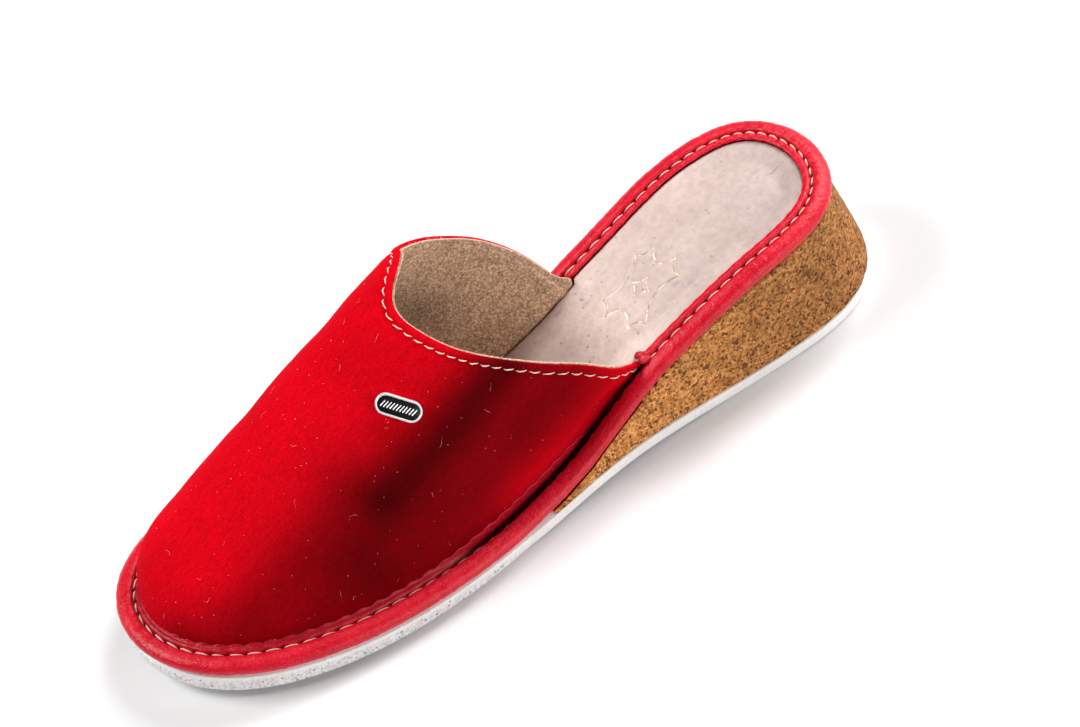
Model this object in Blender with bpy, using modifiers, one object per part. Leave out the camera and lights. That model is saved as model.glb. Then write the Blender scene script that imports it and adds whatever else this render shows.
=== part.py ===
# Backless closed-toe mule slipper, left foot, standing on its sole.
# Metres, +Z up, toe towards +X, outer (lateral) side towards +Y, floor at Z = 0,
# origin under the middle of the shoe's box.
import math

import bmesh
import bpy
import numpy as np

# Driving sizes
SHOE_LENGTH = 0.257          # heel to toe over the rand
SHOE_WIDTH = 0.0843          # over the rand at the ball
OUTSOLE_HEEL_THICKNESS = 0.0040
OUTSOLE_TOE_THICKNESS = 0.0066
OUTSOLE_EDGE = 0.0006        # rounding of the outsole's floor edge
TOE_SPRING = 0.0069
ARCH_RISE = 0.0017
WEDGE_HEIGHT = 0.0362
WEDGE_FRONT_EDGE = 0.0008    # thickness at which the cork stops
WEDGE_TOP_INSET = 0.0010     # cork edge tucked under the rand
HEEL_BACK_FLARE = 0.0072     # how far the floor edge stands out behind the rand
HEEL_SIDE_FLARE = 0.0030
FOREFOOT_INSET = 0.0008      # how far the outsole stays inside the rand at the toe
RAND_WIDTH = 0.0080
RAND_ROLL_WIDTH = 0.0086
RAND_HEIGHT = 0.0060
RAND_GROOVE_INSET = 0.0056   # stitched groove, from the outer edge
RAND_GROOVE_HEIGHT = 0.0048
RAND_FLANGE_HEIGHT = 0.0057
INSOLE_THICKNESS = 0.0044
INSOLE_EDGE = 0.0010         # rounding of the footbed's rim
INSOLE_CUP = 0.0008          # how far the footbed's middle lies below its rim
INSOLE_CUP_WIDTH = 0.0080
UPPER_WALL = 0.0020
INSTEP_HEIGHT = 0.0794       # ridge above the platform at the throat
RIDGE_OFFSET = 0.0092        # ridge line towards the inner side of the foot
TOE_RIB_SPAN = 0.0200        # ridge's end behind the front of the vamp
TOE_FAN_SPAN = 0.0550        # length over which the ribs fan round the toe
LATERAL_BULGE = 0.0034
MEDIAL_BULGE = 0.0100
THROAT_ROLL = 0.0036         # how far the vamp's outer side sags over the rand
THROAT_ROLL_HEIGHT = 0.0110
BADGE_LENGTH = 0.0143
BADGE_WIDTH = 0.0064
BADGE_THICKNESS = 0.0014
BADGE_RIM = 0.0008
BADGE_RECESS = 0.0005
BADGE_BEVEL = 0.00025
BADGE_INLAY_PROUD = 0.0001
CLEARANCE = 0.0003
INLAY_CLEARANCE = 0.00012

# Plan outline of the rand: share of length, half widths as shares of the width
OUTLINE = (
    # along, lateral, medial
    (0.000, 0.000, 0.000),
    (0.050, 0.285, 0.294),
    (0.188, 0.359, 0.348),
    (0.389, 0.381, 0.337),
    (0.611, 0.478, 0.476),
    (0.812, 0.451, 0.522),
    (0.950, 0.264, 0.375),
    (1.000, -0.058, 0.058),
)
# Thickness of the cork wedge as a share of its height
WEDGE = (
    # along, thickness
    (0.00, 1.000),
    (0.15, 0.915),
    (0.30, 0.590),
    (0.40, 0.235),
    (0.45, 0.088),
    (0.50, 0.034),
    (0.58, 0.000),
    (1.00, 0.000),
)
# Upper: ridge height above the platform as a share of the instep height,
# side bulges as shares of theirs, and the exponent of the rib's roundness
UPPER = (
    # along, ridge, lateral, medial, roundness
    (0.28, 0.99, 0.75, 0.40, 1.84),
    (0.36, 1.03, 0.90, 0.80, 1.84),
    (0.45, 1.05, 0.95, 1.00, 1.84),
    (0.55, 1.01, 0.75, 0.78, 1.87),
    (0.65, 0.85, 0.45, 0.42, 1.94),
    (0.75, 0.66, 0.18, 0.14, 2.10),
    (0.85, 0.45, 0.03, 0.02, 2.38),
    (0.93, 0.28, 0.00, 0.00, 2.62),
    (1.00, 0.12, 0.00, 0.00, 2.74),
)
# Topline: climb from the platform (0) to the ridge (1), share of length on each side
TOPLINE = (
    # climb, lateral, medial
    (0.00, 0.318, 0.318),
    (0.28, 0.409, 0.377),
    (0.56, 0.518, 0.463),
    (0.76, 0.557, 0.514),
    (0.90, 0.559, 0.524),
    (1.00, 0.544, 0.544),
)
# Where the vamp's outer side sags over the rand, as a share of the throat roll
ROLL = (
    # along, roll
    (0.28, 0.80),
    (0.36, 1.00),
    (0.44, 0.70),
    (0.53, 0.00),
    (1.00, 0.00),
)
ARCH_START, ARCH_END = 0.20, 0.60
SPRING_START = 0.685
TREAD_TAPER_START = 0.50     # the outsole thickens from here to the toe
FLARE_END = 0.55             # the side flare fades out here
FLARE_POWER = 0.7
BACK_FLARE_POWER = 6         # how tightly the back's flare stays at the back
BADGE_ALONG, BADGE_CLIMB = 0.6185, 0.611
BADGE_TURN = math.radians(113.6)

HALF_STEPS = 44              # stations along each side of a closed outline
UPPER_COLUMNS = 26           # stations from the topline to the toe on each side
UPPER_ROWS = 15              # rows from the platform to the ridge
ROW_CROWDING = 1.3           # rows lie closer together near the platform
ROLL_POINTS = 9              # points round the rand's roll
TABLE_STEPS = 2001

LEATHER_RED = (0.55, 0.02, 0.04, 1.0)
SUEDE_RED = (0.50, 0.005, 0.012, 1.0)
CORK = (0.45, 0.24, 0.10, 1.0)
FOAM = (0.78, 0.77, 0.75, 1.0)
PIGSKIN = (0.76, 0.66, 0.58, 1.0)
STEEL = (0.75, 0.75, 0.77, 1.0)
BLACK = (0.015, 0.015, 0.018, 1.0)


def clear_scene():
    for item in list(bpy.data.objects):
        bpy.data.objects.remove(item, do_unlink=True)


def smooth(share):
    share = np.clip(share, 0.0, 1.0)
    return share * share * (3.0 - 2.0 * share)


def column(table, index):
    return np.array([row[index] for row in table])


def monotone_curve(xs, ys, x):
    """Smooth curve through the rows that never overshoots them."""
    step = np.diff(xs)
    slope = np.diff(ys) / step
    tangent = np.zeros(len(xs))
    tangent[0], tangent[-1] = slope[0], slope[-1]
    for k in range(1, len(xs) - 1):
        if slope[k - 1] * slope[k] > 0.0:
            before, after = 2.0 * step[k] + step[k - 1], step[k] + 2.0 * step[k - 1]
            tangent[k] = (before + after) / (before / slope[k - 1] + after / slope[k])
    x = np.clip(x, xs[0], xs[-1])
    k = np.clip(np.searchsorted(xs, x, side="right") - 1, 0, len(step) - 1)
    t = (x - xs[k]) / step[k]
    return (
        ys[k] * (1 + 2 * t) * (1 - t) ** 2
        + ys[k + 1] * t * t * (3 - 2 * t)
        + step[k] * t * (1 - t) * (tangent[k] * (1 - t) - tangent[k + 1] * t)
    )


def spline_slopes(knots, values, ends):
    """Slopes at the knots of a cubic spline whose ends are "closed", "free" or "flat" at the last."""
    closed = ends == "closed"
    count = len(knots) - 1 if closed else len(knots)
    matrix = np.zeros((count, count))
    right = np.zeros(count)
    step = np.diff(knots)
    rise = np.diff(values) / step
    for k in range(count):
        if closed or 0 < k < count - 1:
            before, after = step[k - 1], step[k]
            matrix[k, k - 1] += 1.0 / before
            matrix[k, k] += 2.0 / before + 2.0 / after
            matrix[k, (k + 1) % count] += 1.0 / after
            right[k] = 3.0 * (rise[k - 1] / before + rise[k] / after)
    if not closed:
        matrix[0, 0], matrix[0, 1], right[0] = 2.0, 1.0, 3.0 * rise[0]
        matrix[-1, -1] = 1.0
    if ends == "free":
        matrix[-1, -2], matrix[-1, -1], right[-1] = 1.0, 2.0, 3.0 * rise[-1]
    slopes = np.linalg.solve(matrix, right)
    return np.append(slopes, slopes[0]) if closed else slopes


def spline(knots, values, x, ends="free"):
    """Value and slope of the cubic spline at x."""
    slopes = spline_slopes(knots, values, ends)
    k = np.clip(np.searchsorted(knots, x, side="right") - 1, 0, len(knots) - 2)
    step = knots[k + 1] - knots[k]
    t = (x - knots[k]) / step
    rise = values[k + 1] - values[k]
    bend_0 = slopes[k] * step - rise
    bend_1 = rise - slopes[k + 1] * step
    value = values[k] + t * rise + t * (1 - t) * (bend_0 * (1 - t) + bend_1 * t)
    slope = (
        rise + (1 - 2 * t) * (bend_0 * (1 - t) + bend_1 * t) + t * (1 - t) * (bend_1 - bend_0)
    ) / step
    return value, slope


def outline(turn, inset=0.0):
    """Plan point of the rand's outline, moved inwards; turn runs heel, lateral, toe, medial."""
    half = np.arccos(1.0 - 2.0 * column(OUTLINE, 0))
    knots = np.concatenate([half, 2.0 * math.pi - half[-2::-1]])
    lateral, medial = column(OUTLINE, 1), column(OUTLINE, 2)
    values = SHOE_WIDTH * np.concatenate([lateral, -medial[-2::-1]])
    turn = np.mod(turn, 2.0 * math.pi)
    y, y_slope = spline(knots, values, turn, "closed")
    x = 0.5 * SHOE_LENGTH * (1.0 - np.cos(turn))
    x_slope = 0.5 * SHOE_LENGTH * np.sin(turn)
    size = np.hypot(x_slope, y_slope)
    return x + inset * y_slope / size, y - inset * x_slope / size


def tread_z(x):
    """Underside of the outsole."""
    along = x / SHOE_LENGTH
    spring = np.clip((along - SPRING_START) / (1.0 - SPRING_START), 0.0, None)
    arch = np.clip((along - ARCH_START) / (ARCH_END - ARCH_START), 0.0, 1.0)
    return TOE_SPRING * spring**2 + ARCH_RISE * np.sin(math.pi * arch) ** 2


def outsole_top_z(x):
    share = smooth((x / SHOE_LENGTH - TREAD_TAPER_START) / (1.0 - TREAD_TAPER_START))
    growth = OUTSOLE_TOE_THICKNESS - OUTSOLE_HEEL_THICKNESS
    return tread_z(x) + OUTSOLE_HEEL_THICKNESS + growth * share


def wedge_thickness(x):
    share = monotone_curve(column(WEDGE, 0), column(WEDGE, 1), x / SHOE_LENGTH)
    return WEDGE_HEIGHT * share


def platform_z(x):
    """Seat of rand, insole and upper."""
    return outsole_top_z(x) + CLEARANCE + wedge_thickness(x)


def floor_flare(turn):
    """How far the floor edge stands outside the rand's outline."""
    along = 0.5 * (1.0 - np.cos(turn))
    heel = np.clip(1.0 - along / FLARE_END, 0.0, 1.0) ** FLARE_POWER
    back = np.clip(np.cos(turn), 0.0, 1.0) ** BACK_FLARE_POWER
    sides = -FOREFOOT_INSET + (HEEL_SIDE_FLARE + FOREFOOT_INSET) * heel
    return sides + (HEEL_BACK_FLARE - HEEL_SIDE_FLARE) * back


def loop_turns(last=math.pi, extra=()):
    """Turns of a loop that starts at the heel, runs to the turn last and comes back."""
    steps = max(4, round(HALF_STEPS * last / math.pi))
    lateral = np.union1d(np.linspace(0.0, last, steps + 1), extra)
    medial = -lateral[1:][::-1]
    return np.concatenate([lateral, medial[1:] if last == math.pi else medial])


def ring(turns, inset, z_of_x, lift=0.0):
    x, y = outline(turns, inset)
    return np.column_stack([x, y, z_of_x(x) + lift])


def add_strip_cap(bm, verts):
    """Closes a loop with strips across the shoe."""
    count = len(verts)
    for k in range(count // 2):
        back, front = (count - k) % count, (count - k - 1) % count
        corners = [verts[k], verts[k + 1], verts[front], verts[back]]
        bm.faces.new(list(dict.fromkeys(corners)))


def add_flat_cap(bm, verts):
    bm.faces.new(verts)


def loft(name, loops, add_cap=None):
    """Solid through closed loops; without caps the last loop joins the first."""
    bm = bmesh.new()
    rings = [[bm.verts.new(point) for point in loop] for loop in loops]
    pairs = list(zip(rings, rings[1:]))
    if add_cap:
        add_cap(bm, rings[0])
        add_cap(bm, rings[-1])
    else:
        pairs.append((rings[-1], rings[0]))
    for lower, upper in pairs:
        count = len(lower)
        for k in range(count):
            bm.faces.new([lower[k], lower[(k + 1) % count], upper[(k + 1) % count], upper[k]])
    bmesh.ops.recalc_face_normals(bm, faces=bm.faces)
    return mesh_from(bm, name)


def mesh_from(bm, name):
    mesh = bpy.data.meshes.new(name)
    bm.to_mesh(mesh)
    bm.free()
    return mesh


def make_material(name, colour, roughness, metallic=0.0):
    material = bpy.data.materials.new(name)
    material.use_nodes = True
    shader = material.node_tree.nodes["Principled BSDF"]
    shader.inputs["Base Color"].default_value = colour
    shader.inputs["Roughness"].default_value = roughness
    shader.inputs["Metallic"].default_value = metallic
    return material


def add_part(collection, root, mesh, material):
    part = bpy.data.objects.new(mesh.name, mesh)
    part.parent = root
    mesh.materials.append(material)
    mesh.shade_smooth()
    collection.objects.link(part)
    return part


def outsole_mesh():
    turns = loop_turns()
    flare = floor_flare(turns)
    return loft(
        "outsole",
        [
            ring(turns, OUTSOLE_EDGE - flare, tread_z),
            ring(turns, -flare, tread_z, OUTSOLE_EDGE),
            ring(turns, -flare, outsole_top_z),
        ],
        add_strip_cap,
    )


def wedge_front_turn():
    """Turn at which the cork is as thin as its front edge."""
    along = np.linspace(0.0, 1.0, TABLE_STEPS)
    thin = wedge_thickness(along * SHOE_LENGTH) - CLEARANCE
    front = along[np.argmax(thin < WEDGE_FRONT_EDGE)]
    return math.acos(1.0 - 2.0 * front)


def wedge_mesh():
    turns = loop_turns(wedge_front_turn())
    return loft(
        "wedge",
        [
            ring(turns, -floor_flare(turns), outsole_top_z, CLEARANCE),
            ring(turns, WEDGE_TOP_INSET, platform_z, -CLEARANCE),
        ],
        add_strip_cap,
    )


def rand_profile():
    """Inset and height of the rand's section, from its inner foot round the roll to the flange."""
    half_width, half_height = 0.5 * RAND_ROLL_WIDTH, 0.5 * RAND_HEIGHT
    crest = math.acos((half_width - RAND_GROOVE_INSET) / half_width)
    around = np.linspace(-0.5 * math.pi, math.pi - crest, ROLL_POINTS)
    points = [(RAND_WIDTH, 0.0)]
    for angle in around:
        points.append((half_width - half_width * math.cos(angle), half_height * (1.0 + math.sin(angle))))
    points.append((RAND_GROOVE_INSET, RAND_GROOVE_HEIGHT))
    points.append((0.5 * (RAND_GROOVE_INSET + RAND_WIDTH), RAND_FLANGE_HEIGHT))
    points.append((RAND_WIDTH, RAND_FLANGE_HEIGHT - 0.5 * CLEARANCE))
    return points


def rand_mesh():
    turns = loop_turns()
    loops = [ring(turns, inset, platform_z, height) for inset, height in rand_profile()]
    return loft("rand", loops)


def insole_mesh():
    """The footbed steps in where the vamp's wall comes down beside it."""
    end = min(TOPLINE[0][1], TOPLINE[0][2]) * SHOE_LENGTH - UPPER_WALL
    step = np.array([end - UPPER_WALL, end])
    turns = loop_turns(extra=np.arccos(1.0 - 2.0 * step / SHOE_LENGTH))
    x, _ = outline(turns)
    beside = smooth((x - step[0]) / UPPER_WALL)
    inset = RAND_WIDTH + CLEARANCE + (UPPER_WALL + CLEARANCE) * beside
    top = INSOLE_THICKNESS
    return loft(
        "insole",
        [
            ring(turns, inset, platform_z),
            ring(turns, inset, platform_z, top - INSOLE_EDGE),
            ring(turns, inset + INSOLE_EDGE, platform_z, top),
            ring(turns, inset + INSOLE_CUP_WIDTH, platform_z, top - INSOLE_CUP),
        ],
        add_strip_cap,
    )


class VampSide:
    """One side of the upper's outer surface, from the platform up to the ridge."""

    def __init__(self, lateral):
        self.sign = 1.0 if lateral else -1.0
        self.bulge_column = 2 if lateral else 3
        self.bulge = LATERAL_BULGE if lateral else MEDIAL_BULGE
        self.roll = THROAT_ROLL if lateral else 0.0
        self.topline = column(TOPLINE, 1 if lateral else 2) * SHOE_LENGTH
        turns = np.linspace(0.0, math.pi, TABLE_STEPS) * self.sign
        self.seat_x, self.seat_y = outline(turns, RAND_WIDTH + CLEARANCE)

    def topline_x(self, climb):
        return spline(column(TOPLINE, 0), self.topline, climb, "flat")[0]

    def point(self, seat_x, climb):
        """Surface point above the seam at seat_x; climb is 0 at the platform and 1 at the ridge."""
        front = self.seat_x[-1]
        seat_y = np.interp(seat_x, self.seat_x, self.seat_y)
        fan = smooth(1.0 + (seat_x - front) / TOE_FAN_SPAN)
        ridge_x = seat_x - TOE_RIB_SPAN * fan
        along = seat_x / SHOE_LENGTH
        rows = column(UPPER, 0)
        power = 2.0 / spline(rows, column(UPPER, 4), along)[0]
        across = np.cos(0.5 * math.pi * climb) ** power
        rise = np.sin(0.5 * math.pi * climb) ** power
        x = ridge_x + (seat_x - ridge_x) * across
        ridge = INSTEP_HEIGHT * spline(rows, column(UPPER, 1), x / SHOE_LENGTH)[0]
        seat_z = platform_z(seat_x)
        height = (platform_z(x) + ridge - seat_z) * rise
        above = smooth((height - RAND_FLANGE_HEIGHT) / THROAT_ROLL_HEIGHT)
        bulge = self.bulge * spline(rows, column(UPPER, self.bulge_column), along)[0]
        sag = self.roll * monotone_curve(column(ROLL, 0), column(ROLL, 1), along)
        lobe = (height - RAND_FLANGE_HEIGHT) / THROAT_ROLL_HEIGHT
        lobe = np.clip(lobe, 0.0, None)
        outward = bulge * np.sin(math.pi * climb) * above + sag * lobe * np.exp(1.0 - lobe) * above
        y = -RIDGE_OFFSET + (seat_y + RIDGE_OFFSET) * across + self.sign * outward
        return np.stack([x, y, seat_z + height], axis=-1)

    def stations(self, climb):
        """Seam stations from the topline to the toe, crowded towards the toe."""
        start = self.topline_x(climb)
        back = (1.0 - np.arange(UPPER_COLUMNS + 1) / UPPER_COLUMNS) ** 2
        return self.seat_x[-1] - (self.seat_x[-1] - start) * back


def upper_mesh():
    """Open outer surface; its wall comes from Solidify."""
    lateral, medial = VampSide(True), VampSide(False)
    bm = bmesh.new()
    rows = []
    for row in range(UPPER_ROWS):
        climb = (row / UPPER_ROWS) ** ROW_CROWDING
        near = lateral.point(lateral.stations(climb), climb)
        far = medial.point(medial.stations(climb), climb)
        rows.append([bm.verts.new(point) for point in np.concatenate([near, far[-2::-1]])])
    ridge = [bm.verts.new(point) for point in lateral.point(lateral.stations(1.0), 1.0)]
    rows.append(ridge + ridge[-2::-1])
    for lower, upper in zip(rows, rows[1:]):
        for k in range(len(lower) - 1):
            bm.faces.new([lower[k], lower[k + 1], upper[k + 1], upper[k]])
    bmesh.ops.recalc_face_normals(bm, faces=bm.faces)
    if sum(face.normal.z for face in bm.faces) < 0.0:
        bmesh.ops.reverse_faces(bm, faces=bm.faces)
    return mesh_from(bm, "upper")


def stadium(length, width, height, corner_points=6):
    """Loop of a flat stadium shape."""
    radius = 0.5 * width
    points = []
    for end in (1.0, -1.0):
        for k in range(corner_points + 1):
            angle = math.pi * (k / corner_points - 0.5) + (0.0 if end > 0 else math.pi)
            centre = end * 0.5 * (length - width)
            points.append((centre + radius * math.cos(angle), radius * math.sin(angle), height))
    return np.array(points)


def badge_frame():
    """Centre, long direction, short direction and normal of the badge on the vamp."""
    side = VampSide(True)
    x = BADGE_ALONG * SHOE_LENGTH
    step = 0.001
    centre = side.point(np.array(x), BADGE_CLIMB)
    forward = side.point(np.array(x + step), BADGE_CLIMB) - side.point(np.array(x - step), BADGE_CLIMB)
    upward = side.point(np.array(x), BADGE_CLIMB + step) - side.point(np.array(x), BADGE_CLIMB - step)
    forward /= np.linalg.norm(forward)
    normal = np.cross(forward, upward)
    normal /= np.linalg.norm(normal)
    if normal[2] < 0.0:
        normal = -normal
    side_way = np.cross(normal, forward)
    long_way = forward * math.cos(BADGE_TURN) + side_way * math.sin(BADGE_TURN)
    return centre, long_way, np.cross(normal, long_way), normal


def seat_gap(length, width, frame):
    """Distance that the flat badge needs above its centre point to clear the curved vamp."""
    centre, long_way, short_way, normal = frame
    side = VampSide(True)
    reach = 0.5 * length
    xs = np.linspace(-reach, reach, 25)
    x, climb = np.meshgrid(centre[0] + xs, BADGE_CLIMB + 2.0 * xs / INSTEP_HEIGHT)
    offsets = side.point(x, climb) - centre
    under = (np.abs(offsets @ long_way) < 0.5 * length) & (np.abs(offsets @ short_way) < 0.5 * width)
    return float(np.max((offsets @ normal)[under])) + CLEARANCE


def place_on_vamp(loop, frame, lift):
    centre, long_way, short_way, normal = frame
    basis = np.stack([long_way, short_way, normal])
    return centre + (loop + np.array([0.0, 0.0, lift])) @ basis


def badge_meshes():
    frame = badge_frame()
    lift = seat_gap(BADGE_LENGTH, BADGE_WIDTH, frame)
    well_length, well_width = BADGE_LENGTH - 2.0 * BADGE_RIM, BADGE_WIDTH - 2.0 * BADGE_RIM
    well_floor = BADGE_THICKNESS - BADGE_RECESS
    plate = [
        stadium(BADGE_LENGTH, BADGE_WIDTH, 0.0),
        stadium(BADGE_LENGTH, BADGE_WIDTH, BADGE_THICKNESS - BADGE_BEVEL),
        stadium(BADGE_LENGTH - 2.0 * BADGE_BEVEL, BADGE_WIDTH - 2.0 * BADGE_BEVEL, BADGE_THICKNESS),
        stadium(well_length, well_width, BADGE_THICKNESS),
        stadium(well_length, well_width, well_floor),
    ]
    inlay_length, inlay_width = well_length - 2.0 * INLAY_CLEARANCE, well_width - 2.0 * INLAY_CLEARANCE
    inlay = [
        stadium(inlay_length, inlay_width, well_floor + INLAY_CLEARANCE),
        stadium(inlay_length, inlay_width, BADGE_THICKNESS + BADGE_INLAY_PROUD),
    ]
    return [
        loft("badge_plate", [place_on_vamp(loop, frame, lift) for loop in plate], add_flat_cap),
        loft("badge_inlay", [place_on_vamp(loop, frame, lift) for loop in inlay], add_flat_cap),
    ]


def box_centre():
    """Middle of the shoe's plan box, in the frame that the loops are worked out in."""
    turns = loop_turns()
    reach = np.maximum(floor_flare(turns), 0.0)
    x, y = outline(turns, -reach)
    return 0.5 * (x.min() + x.max()), 0.5 * (y.min() + y.max())


def build():
    clear_scene()
    collection = bpy.data.collections.new("mule_slipper")
    bpy.context.scene.collection.children.link(collection)
    root = bpy.data.objects.new("mule_slipper", None)
    centre_x, centre_y = box_centre()
    root.location = (-centre_x, -centre_y, 0.0)
    collection.objects.link(root)

    add_part(collection, root, outsole_mesh(), make_material("foam", FOAM, 0.8))
    add_part(collection, root, wedge_mesh(), make_material("cork", CORK, 0.85))
    add_part(collection, root, rand_mesh(), make_material("rand_leather", LEATHER_RED, 0.4))
    add_part(collection, root, insole_mesh(), make_material("pigskin", PIGSKIN, 0.7))
    upper = add_part(collection, root, upper_mesh(), make_material("suede", SUEDE_RED, 0.9))
    wall = upper.modifiers.new("wall", "SOLIDIFY")
    wall.thickness = UPPER_WALL
    wall.offset = -1.0
    wall.use_even_offset = True
    plate, inlay = badge_meshes()
    add_part(collection, root, plate, make_material("badge_steel", STEEL, 0.25, 1.0))
    add_part(collection, root, inlay, make_material("badge_black", BLACK, 0.3))


build()
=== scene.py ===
import math

import bmesh
import bpy
import numpy as np
from mathutils import Matrix, Vector
from mathutils.bvhtree import BVHTree
from mathutils.kdtree import KDTree


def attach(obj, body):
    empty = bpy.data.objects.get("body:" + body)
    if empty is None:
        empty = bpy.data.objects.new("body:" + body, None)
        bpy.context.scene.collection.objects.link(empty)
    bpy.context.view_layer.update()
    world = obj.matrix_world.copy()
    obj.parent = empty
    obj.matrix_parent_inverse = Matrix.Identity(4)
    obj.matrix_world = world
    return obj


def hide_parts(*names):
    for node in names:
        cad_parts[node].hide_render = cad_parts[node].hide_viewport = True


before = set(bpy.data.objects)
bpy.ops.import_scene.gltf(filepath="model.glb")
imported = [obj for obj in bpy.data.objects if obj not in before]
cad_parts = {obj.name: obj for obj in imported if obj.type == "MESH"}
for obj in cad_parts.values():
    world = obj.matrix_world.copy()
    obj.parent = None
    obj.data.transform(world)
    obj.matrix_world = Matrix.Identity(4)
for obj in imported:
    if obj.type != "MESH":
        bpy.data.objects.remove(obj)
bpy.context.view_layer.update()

MM = 0.001

# Driving sizes
SHOE_LENGTH = 0.257          # heel to toe over the rand
SHOE_WIDTH = 0.0843          # over the rand at the ball
OUTSOLE_HEEL_THICKNESS = 0.0040
OUTSOLE_TOE_THICKNESS = 0.0066
OUTSOLE_EDGE = 0.0006        # rounding of the outsole's floor edge
TOE_SPRING = 0.0069
ARCH_RISE = 0.0017
WEDGE_HEIGHT = 0.0362
WEDGE_FRONT_EDGE = 0.0008    # thickness at which the cork stops
WEDGE_TOP_INSET = 0.0010     # cork edge tucked under the rand
HEEL_BACK_FLARE = 0.0072     # how far the floor edge stands out behind the rand
HEEL_SIDE_FLARE = 0.0030
FOREFOOT_INSET = 0.0008      # how far the outsole stays inside the rand at the toe
RAND_WIDTH = 0.0080
RAND_ROLL_WIDTH = 0.0086
RAND_HEIGHT = 0.0060
RAND_FLANGE_HEIGHT = 0.0057
INSOLE_THICKNESS = 0.0044
INSOLE_EDGE = 0.0010         # rounding of the footbed's rim
INSOLE_CUP = 0.0008          # how far the footbed's middle lies below its rim
INSOLE_CUP_WIDTH = 0.0080
UPPER_WALL = 0.0020
INSTEP_HEIGHT = 0.0794       # ridge above the platform at the throat
RIDGE_OFFSET = 0.0092        # ridge line towards the inner side of the foot
TOE_RIB_SPAN = 0.0200        # ridge's end behind the front of the vamp
TOE_FAN_SPAN = 0.0550        # length over which the ribs fan round the toe
LATERAL_BULGE = 0.0034
MEDIAL_BULGE = 0.0100
THROAT_ROLL = 0.0036         # how far the vamp's outer side sags over the rand
THROAT_ROLL_HEIGHT = 0.0110
BADGE_LENGTH = 0.0143
BADGE_WIDTH = 0.0064
BADGE_THICKNESS = 0.0014
BADGE_RIM = 0.0006
BADGE_RECESS = 0.0005
CLEARANCE = 0.0003

# Plan outline of the rand: share of length, half widths as shares of the width
OUTLINE = (
    # along, lateral, medial
    (0.000, 0.000, 0.000),
    (0.050, 0.285, 0.294),
    (0.188, 0.359, 0.348),
    (0.389, 0.381, 0.337),
    (0.611, 0.478, 0.476),
    (0.812, 0.451, 0.522),
    (0.950, 0.264, 0.375),
    (1.000, -0.058, 0.058),
)
# Thickness of the cork wedge as a share of its height
WEDGE = (
    # along, thickness
    (0.00, 1.000),
    (0.15, 0.915),
    (0.30, 0.590),
    (0.40, 0.235),
    (0.45, 0.088),
    (0.50, 0.034),
    (0.58, 0.000),
    (1.00, 0.000),
)
# Upper: ridge height above the platform as a share of the instep height,
# side bulges as shares of theirs, and the exponent of the rib's roundness
UPPER = (
    # along, ridge, lateral, medial, roundness
    (0.28, 0.99, 0.75, 0.40, 1.84),
    (0.36, 1.03, 0.90, 0.80, 1.84),
    (0.45, 1.05, 0.95, 1.00, 1.84),
    (0.55, 1.01, 0.75, 0.78, 1.87),
    (0.65, 0.85, 0.45, 0.42, 1.94),
    (0.75, 0.66, 0.18, 0.14, 2.10),
    (0.85, 0.45, 0.03, 0.02, 2.38),
    (0.93, 0.28, 0.00, 0.00, 2.62),
    (1.00, 0.12, 0.00, 0.00, 2.74),
)
# Topline: climb from the platform (0) to the ridge (1), share of length on each side
TOPLINE = (
    # climb, lateral, medial
    (0.00, 0.318, 0.318),
    (0.28, 0.409, 0.377),
    (0.56, 0.518, 0.463),
    (0.76, 0.557, 0.514),
    (0.90, 0.559, 0.524),
    (1.00, 0.544, 0.544),
)
# Where the vamp's outer side sags over the rand, as a share of the throat roll
ROLL = (
    # along, roll
    (0.28, 0.80),
    (0.36, 1.00),
    (0.44, 0.70),
    (0.53, 0.00),
    (1.00, 0.00),
)
ARCH_START, ARCH_END = 0.20, 0.60
SPRING_START = 0.685
TREAD_TAPER_START = 0.50     # the outsole thickens from here to the toe
FLARE_END = 0.55             # the side flare fades out here
FLARE_POWER = 0.7
BACK_FLARE_POWER = 6         # how tightly the back's flare stays at the back
BADGE_ALONG, BADGE_CLIMB = 0.6185, 0.611
BADGE_TURN = math.radians(113.6)

HALF_STEPS = 44              # stations along each side of a closed outline
TABLE_STEPS = 2001


def smooth(share):
    share = np.clip(share, 0.0, 1.0)
    return share * share * (3.0 - 2.0 * share)


def column(table, index):
    """One column of a table of rows."""
    return np.array([row[index] for row in table])


def bell(x, centre, width):
    return np.exp(-(((x - centre) / width) ** 2))


def unit(vectors):
    return vectors / np.maximum(np.linalg.norm(vectors, axis=-1, keepdims=True), 1e-12)


def running_sum(steps):
    return np.concatenate([[0.0], np.cumsum(steps)])


def line_lengths(line):
    """Length along a polyline up to each of its points."""
    return running_sum(np.linalg.norm(np.diff(line, axis=0), axis=1))


def hermite(first, last, first_slope, last_slope, share):
    """Cubic from first to last whose slopes at share 0 and 1 are given."""
    rest = 1 - share
    ends = first * (1 + 2 * share) * rest**2 + last * share * share * (3 - 2 * share)
    return ends + share * rest * (first_slope * rest - last_slope * share)


def monotone_curve(xs, ys, x):
    """Smooth curve through the rows that never overshoots them."""
    step = np.diff(xs)
    slope = np.diff(ys) / step
    tangent = np.zeros(len(xs))
    tangent[0], tangent[-1] = slope[0], slope[-1]
    for k in range(1, len(xs) - 1):
        if slope[k - 1] * slope[k] > 0.0:
            before, after = 2.0 * step[k] + step[k - 1], step[k] + 2.0 * step[k - 1]
            tangent[k] = (before + after) / (before / slope[k - 1] + after / slope[k])
    x = np.clip(x, xs[0], xs[-1])
    k = np.clip(np.searchsorted(xs, x, side="right") - 1, 0, len(step) - 1)
    t = (x - xs[k]) / step[k]
    return hermite(ys[k], ys[k + 1], step[k] * tangent[k], step[k] * tangent[k + 1], t)


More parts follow.
